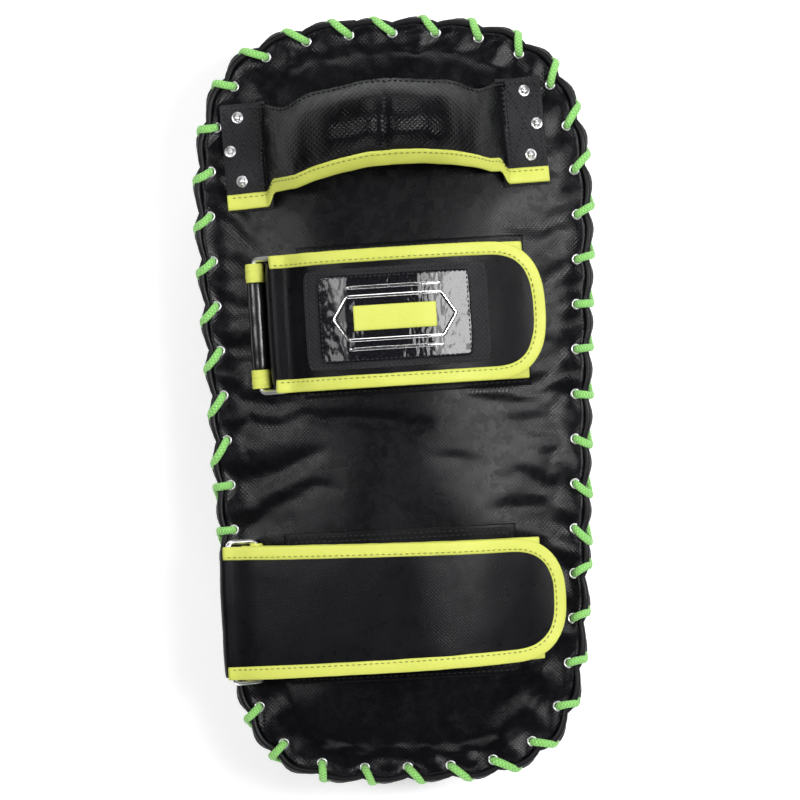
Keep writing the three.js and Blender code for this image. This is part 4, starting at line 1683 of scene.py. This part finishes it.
        if not rounded:
            for i in range(len(route)):
                add(i, sides[0] * half(i))
            return points, lifts
        bend = next(i for i in range(30, len(route)) if route[i].x > start)
        for i in range(bend):
            add(i, -half(i))
        reach = self.flap_end - margin
        for angle in np.linspace(-90.0, 90.0, 61):
            turn = math.radians(angle)
            x = start + reach * abs(math.cos(turn)) ** (2 / 2.6)
            index = 30 + float(np.interp(x, xs, range(len(xs))))
            add(index, half(round(index)) * signed_power(math.sin(turn), 2 / 2.6))
        for i in range(bend - 1, -1, -1):
            add(i, half(i))
        return points, lifts

    def binding(
        self, name: str, edge: tuple[list[Vector], list[Vector]], thickness: float, nodes: Sequence[str],
        body: Optional[str],
    ) -> bpy.types.Object:
        """Folds a lime tape over an edge.

        Args:
            name: The piece's name.
            edge: The tape's middle line and its upward directions.
            thickness: Over both faces.
            nodes: The CAD nodes it stands for.
            body: The body it rides on, or None.

        Returns:
            The tape.
        """
        points, lifts = edge

        def radii(along: float) -> tuple[float, float]:
            """Returns half the tape's width and thickness, a little uneven."""
            uneven = 0.12 * MM * noise.noise(Vector((along * 40.0, self.y * 90.0, 0.0)))
            return 3.45 * MM + uneven, thickness / 2.0

        bm = sweep(points, 18, radii, lift=lifts, power=0.45)
        return add_piece(name, bm, self.finishes.lime, "lime_leather", body=body, nodes=nodes)

    def seam(
        self, name: str, edge: tuple[list[Vector], list[Vector]], above: float,
        material: bpy.types.Material, body: Optional[str],
    ) -> bpy.types.Object:
        """Sews a row of stitches on top of an edge's line.

        Args:
            name: The piece's name.
            edge: The row's line and its upward directions.
            above: How far the row lies above that line.
            material: The thread.
            body: The body it rides on, or None.

        Returns:
            The row.
        """
        points, lifts = edge
        bm = bmesh.new()
        Thread().sew(bm, [p + u * above for p, u in zip(points, lifts)], lifts)
        return add_piece(name, bm, material, "lime_leather", body=body)

    def bend_at_fold(self, obj: bpy.types.Object) -> None:
        """Bakes a piece's placement into its mesh.

        Args:
            obj: The piece.
        """
        start = self.world(self.bar_x + 0.5 * MM, 0.0, self.bar_z + self.layer_offset)
        end = self.world(self.bar_x + 15 * MM, 0.0, self.height(self.bar_x + 15 * MM))
        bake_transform(obj)

    def build(self) -> None:
        """Builds the strap from the pad outwards."""
        self.sewn_patch()
        self.ring()
        self.keeper()
        self.base()
        self.flap()
        self.tapes()

    def base(self) -> None:
        """Builds the under layer with its bound edges."""
        body = f"{self.name}_base_body"
        route = self.base_route()
        nodes = (f"{self.name}_strap_base",)
        self.leather_sheet(f"{self.name}_base_hide", route, False, 2.2 * MM, nodes, body)
        for side, word in ((1.0, "top"), (-1.0, "bottom")):
            edge = self.edge_route(route, False, 3.6 * MM, (side,))
            self.binding(f"{self.name}_base_lime_{word}", edge, 4.0 * MM,
                         (f"{self.name}_base_binding_{word}",), body)
            row = self.edge_route(route, False, 5.4 * MM, (side,))
            self.seam(f"{self.name}_base_seam_{word}", row, 1.95 * MM, self.finishes.lime_thread_painted_shade, body)
        end = route[-1]
        points = [self.world(end.x - 3.6 * MM, y, end.z + 0.2 * MM)
                  for y in np.linspace(3 * MM - self.edge_at(end.x), self.edge_at(end.x) - 3 * MM, 40)]
        self.binding(f"{self.name}_base_lime_end", (points, [UP] * len(points)), 4.2 * MM, (), body)

    def flap(self) -> None:
        """Builds the flap and the fold round the ring as one strip, with its bound edge."""
        route = self.flap_route()
        name = self.name
        nodes = (f"{name}_strap_flap", f"{name}_strap_fold")
        pieces = [self.leather_sheet(f"{name}_flap_hide", route, True, self.flap_thickness, nodes, None)]
        shoulder = next(i for i, p in enumerate(route) if p.z > self.bar_z + 2.5 * MM)
        edge = self.edge_route(route[shoulder:], True, 3.6 * MM, ())
        pieces.append(self.binding(f"{name}_flap_lime", edge, 4.3 * MM, (f"{name}_flap_binding",), None))
        row = self.edge_route(route[shoulder + 1:], True, 5.5 * MM, ())
        pieces.append(self.seam(f"{name}_flap_seam", row, 2.1 * MM, self.finishes.lime_thread_painted_shade, None))
        for obj in pieces:
            self.bend_at_fold(obj)

    def tapes(self) -> None:
        """Builds the two halves of the closure."""
        spans = (("loop", -20 * MM, 62 * MM, -1.4 * MM, f"{self.name}_base_body"),
                 ("hook", 2 * MM, 48 * MM, 1.6 * MM, f"{self.name}_flap_body"))
        for word, low, high, above, body in spans:
            def place(u: float, v: float) -> Vector:
                """Returns a point of the tape."""
                x = low + (high - low) * u
                y = (v - 0.5) * 50 * MM
                middle = self.height(x) - self.layer_offset
                fuzz = 0.12 * MM * noise.noise(Vector((x, y, 0.0)) / (1.2 * MM))
                return self.world(x, y, middle + above + fuzz)

            facing = UP if word == "loop" else -UP
            tape = add_piece(f"{self.name}_{word}_pile", surface(60, 40, place), self.finishes.tape,
                             "closure_tape", body=body, nodes=(f"{self.name}_{word}_tape",), facing=facing)
            add_thickness(tape, 0.6 * MM)

    def ring(self) -> None:
        """Builds the wire ring."""
        tilt = math.atan2(self.bar_z - self.keeper_z, self.kind.value * self.ring_span)
        span = math.hypot(self.bar_z - self.keeper_z, self.ring_span)
        path = []
        half = self.ring_half - self.ring_play
        for quarter, (sx, sy) in enumerate(((1, 1), (-1, 1), (-1, -1), (1, -1))):
            for angle in np.linspace(quarter * 90.0, quarter * 90.0 + 90.0, 9):
                turn = math.radians(angle)
                along = sx * (span / 2.0 - self.ring_corner) + self.ring_corner * math.cos(turn)
                y = sy * (half - self.ring_corner) + self.ring_corner * math.sin(turn)
                path.append((along + span / 2.0, y))
        points = [self.world(self.keeper_x + a * math.cos(tilt), y, self.keeper_z + a * math.sin(tilt))
                  for a, y in path]
        points = even_path([*points, points[0]], 1.2 * MM)[:-1]
        bm = sweep(points, 16, lambda along: (0.8 * self.wire, 0.8 * self.wire), closed=True)
        add_piece(f"{self.name}_wire_ring", bm, self.finishes.nickel, "nickel",
                  body=f"{self.name}_ring_body", nodes=(f"{self.name}_ring",))

    def keeper(self) -> None:
        """Builds the leather tube that holds the ring down, with its lime ends."""
        half, end = self.ring_half - self.wire - 0.3 * MM, 9.6 * MM
        sink = 3.2 * MM
        runs = (("keeper", -half + end - 0.4 * MM, half - end + 0.4 * MM, -0.5 * MM,
                 self.finishes.gloss_black, "smooth_leather"),
                ("keeper_end_top", half - end, half, 0.0, self.finishes.lime, "lime_leather"),
                ("keeper_end_bottom", -half, -half + end, 0.0, self.finishes.lime, "lime_leather"))
        for word, low, high, extra, material, slot in runs:
            def place(u: float, v: float) -> Vector:
                """Returns a point of the tube's skin."""
                soft = (2.0 * u - 1.0) ** 8
                radius = self.keeper_radius + extra - 0.35 * MM * soft
                y = low + (high - low) * u
                angle = v * 2.0 * math.pi
                uneven = 1.0 + 0.035 * noise.noise(Vector((u * 7.0, v * 3.0, self.y * 60.0)))
                x = radius * uneven * signed_power(math.cos(angle), 0.85)
                z = radius * uneven * signed_power(math.sin(angle), 0.85)
                return self.world(self.keeper_x + x, y, self.keeper_z + max(z, -sink))

            bm = surface(40, 32, place)
            bmesh.ops.holes_fill(bm, edges=[e for e in bm.edges if e.is_boundary], sides=0)
            add_piece(f"{self.name}_{word}_roll", bm, material, slot, nodes=(f"{self.name}_{word}",))

    def sewn_patch(self) -> None:
        """Builds the panel under the strap and its seam."""
        low, high = self.patch
        half = 39 * MM

        def spot(x: float, y: float, above: float) -> Vector:
            """Returns a point over the back."""
            at = self.world(x, y, 0.0)
            at.z = self.body.ground(at.x, at.y) + above
            return at

        def place(u: float, v: float) -> Vector:
            """Returns a point of the panel's upper face."""
            return spot(low + (high - low) * u, (2.0 * v - 1.0) * half, 1.5 * MM)

        patch = add_piece(f"{self.name}_patch_hide", surface(72, 48, place), self.finishes.strap,
                          "textured_leather", nodes=(f"{self.name}_strap_patch",), facing=UP)
        add_thickness(patch, 1.2 * MM, 0.4 * MM)
        bm = bmesh.new()
        for margin in (2.2 * MM, 4.6 * MM):
            a, b, h = low + margin, high - margin, half - margin
            corners = ((a, -h), (b, -h), (b, h), (a, h), (a, -h))
            line = even_path([Vector((x, y, 0.0)) for x, y in corners], 2 * MM)
            points = [spot(p.x, p.y, 1.55 * MM) for p in line]
            Thread(3.0 * MM, 2.3 * MM, 0.36 * MM).sew(bm, points, [UP] * len(points))
        add_piece(f"{self.name}_patch_seam", bm, self.finishes.black_thread, "textured_leather")


@dataclass
class Badge:
    """The patent panel on the wrist strap, with a plain long hexagon in bright metal."""

    strap: Strap
    finishes: Finishes
    body: str = "wrist_flap_body"

    def on_flap(self, x: float, y: float, above: float) -> Vector:
        """Returns a point over the flap's leather."""
        strap = self.strap
        return strap.world(x, y, strap.height(x) + strap.flap_thickness / 2.0 + 0.45 * MM + above)

    def plate(
        self, name: str, low: float, high: float, half: float, above: float, thickness: float,
        material: bpy.types.Material, slot: str, node: str,
    ) -> None:
        """Lays a plate over the flap.

        Args:
            name: The piece's name.
            low: Its left edge.
            high: Its right edge.
            half: Half its height.
            above: Height of its upper face over the leather.
            thickness: Its own.
            material: Its finish.
            slot: Its material slot.
            node: The CAD node it stands for.
        """
        def place(u: float, v: float) -> Vector:
            """Returns a point of the plate's upper face, with round corners."""
            x, y = 2.0 * u - 1.0, 2.0 * v - 1.0
            corner = 1.0 - 0.035 * (x * y) ** 8
            span = (high - low) / 2.0
            return self.on_flap((low + high) / 2.0 + x * corner * span, y * corner * half, above)

        obj = add_piece(name, surface(64, 32, place), material, slot, body=self.body, nodes=(node,),
                        facing=UP)
        add_thickness(obj, thickness, 0.35 * MM)

    def build(self) -> None:
        """Builds the backing, the panel, the emblem and the seams."""
        finishes = self.finishes
        self.plate("badge_backing", -47 * MM, 47 * MM, 25.6 * MM, 1.2 * MM, 1.2 * MM, finishes.tab,
                   "textured_leather", "wrist_badge_backing")
        self.plate("badge_panel", -40 * MM, 38 * MM, 22.4 * MM, 2.2 * MM, 1.2 * MM, finishes.patent,
                   "gloss_panel", "wrist_badge_panel")
        bm = bmesh.new()
        for margin, low, high, half, above in ((1.6, -47, 47, 25.6, 1.25), (1.4, -40, 38, 22.4, 2.25)):
            a, b, h = low + margin, high - margin, half - margin
            corners = ((a, -h), (b, -h), (b, h), (a, h), (a, -h))
            line = even_path([Vector((x * MM, y * MM, 0.0)) for x, y in corners], 1.5 * MM)
            points = [self.on_flap(p.x, p.y, above * MM) for p in line]
            Thread(2.4 * MM, 1.8 * MM, 0.32 * MM).sew(bm, points, [UP] * len(points))
        add_piece("badge_seams", bm, finishes.black_thread, "textured_leather", body=self.body)
        self.emblem()

    def emblem(self) -> None:
        """Builds a long hexagon outline round a lime bar, and short bars beside it."""
        outline = ((-32, 0), (-25, 11), (23, 11), (30, 0), (23, -11), (-25, -11), (-32, 0))
        line = even_path([Vector((x * MM, y * MM, 0.0)) for x, y in outline], 0.8 * MM)[:-1]
        path = [self.on_flap(p.x, p.y, 2.7 * MM) for p in line]
        bm = sweep(path, 8, lambda along: (0.95 * MM, 0.55 * MM), closed=True, lift=[UP] * len(path))
        add_piece("badge_hexagon", bm, self.finishes.chrome, "nickel", body=self.body,
                  nodes=("wrist_badge_emblem",))
        for name, low, high, y, half, material in (
            ("badge_bar_middle", -22, 20, 0.0, 6.4, self.finishes.lime),
            ("badge_bar_upper", -25, 23, 15.6, 0.9, self.finishes.chrome),
            ("badge_bar_lower", -25, 23, -15.6, 0.9, self.finishes.chrome),
        ):
            points = [self.on_flap(x * MM, y * MM, 2.5 * MM) for x in np.linspace(low, high, 50)]
            bm = sweep(points, 12, lambda along: (half * MM, 0.5 * MM), lift=[UP] * 50, power=0.5)
            add_piece(name, bm, material, "nickel", body=self.body)


@dataclass
class Studio:
    """A pale floor, soft light and the camera, looking straight down."""

    distance: float = 1.5
    field: float = 0.416
    roll: float = math.radians(-2.0)
    rim_height: float = 85 * MM

    def build(self) -> None:
        """Builds the stage."""
        self.floor()
        self.lights()
        self.camera()

    def floor(self) -> None:
        """Lays a flat pale disc as the floor, just under the pad."""
        graph = Graph("floor_paper")
        mottle = graph.noise(graph.place(), 9.0, 3.0)
        graph.link(graph.ramp(mottle, ((0.3, (0.86, 0.86, 0.86)), (0.7, (0.88, 0.88, 0.88)))),
                   graph.shader.inputs["Base Color"])
        graph.set(Roughness=0.85, Emission_Color=(1.0, 1.0, 1.0, 1.0), Emission_Strength=0.5)
        bm = bmesh.new()
        bmesh.ops.create_circle(bm, cap_ends=True, segments=64, radius=6.0,
                                matrix=Matrix.Translation((0.0, 0.0, -0.5 * MM)))
        mesh = bpy.data.meshes.new("floor")
        bm.to_mesh(mesh)
        bm.free()
        mesh.materials.append(graph.material)
        obj = bpy.data.objects.new("floor", mesh)
        bpy.context.scene.collection.objects.link(obj)

    def area(self, name: str, at: Vector, size: tuple[float, float], power: float) -> None:
        """Hangs a soft box that faces the pad.

        Args:
            name: The light's name.
            at: Its place.
            size: Its width and length.
            power: In watts.
        """
        light = bpy.data.lights.new(name, "AREA")
        light.shape = "RECTANGLE"
        light.size, light.size_y = size
        light.energy = power
        obj = bpy.data.objects.new(name, light)
        obj.location = at
        obj.rotation_euler = (Vector((0.0, 0.0, 0.08)) - at).to_track_quat("-Z", "Y").to_euler()
        bpy.context.scene.collection.objects.link(obj)

    def lights(self) -> None:
        """Hangs a long soft box on each side, and fills the room with light."""
        self.area("soft_right", Vector((0.8, 0.15, 1.5)), (0.26, 1.0), 20.0)
        self.area("soft_left", Vector((-0.95, 0.25, 1.5)), (0.28, 0.8), 10.0)
        self.area("soft_top", Vector((0.2, 2.2, 1.2)), (1.8, 0.6), 20.0)
        self.area("soft_front", Vector((0.0, -2.3, 0.9)), (1.8, 0.6), 15.0)
        world = bpy.data.worlds.new("room")
        world.use_nodes = True
        background = world.node_tree.nodes["Background"]
        background.inputs["Color"].default_value = (1.0, 1.0, 1.0, 1.0)
        background.inputs["Strength"].default_value = 0.05
        bpy.context.scene.world = world
        bpy.context.scene.view_settings.view_transform = "Standard"

    def camera(self) -> None:
        """Hangs the camera over the pad."""
        data = bpy.data.cameras.new("camera")
        data.sensor_width = 36.0
        data.lens = 36.0 * self.distance / self.field
        obj = bpy.data.objects.new("camera", data)
        obj.location = (0.0, 0.0, self.distance + self.rim_height)
        obj.rotation_euler = (0.0, 0.0, self.roll)
        bpy.context.scene.collection.objects.link(obj)
        bpy.context.scene.camera = obj


def main() -> None:
    """Builds the whole pad and its stage."""
    logging.basicConfig(level=logging.INFO, format="%(message)s")
    Studio().build()
    finishes = Finishes()
    sizes = PadSizes()
    body = PaddedBody(sizes, finishes)
    body.build()
    RimLace(sizes, finishes, body).build()
    Handle(finishes, body).build()
    wrist = Strap(
        "wrist", finishes, body, StrapKind.RING_RIGHT, 42.6 * MM, math.radians(1.6), -72 * MM, 4.9 * MM,
        102.6 * MM, 3.8 * MM, 65.5 * MM, 76.5 * MM, (-50 * MM, 67.5 * MM), 34.4 * MM,
    )
    wrist.build()
    Badge(wrist, finishes).build()
    Strap(
        "elbow", finishes, body, StrapKind.RING_LEFT, -105.4 * MM, math.radians(0.8), -76.6 * MM, 3.4 * MM,
        99.2 * MM, 0.5 * MM, 69 * MM, 82 * MM, (-62 * MM, 58 * MM), 37 * MM, 0.97, 0.088,
        base_gap=7.0 * MM, fold_leg=2.6 * MM, ring_play=0.8 * MM, lip_slope=0.2,
    ).build()


if __name__ == "__main__":
    main()
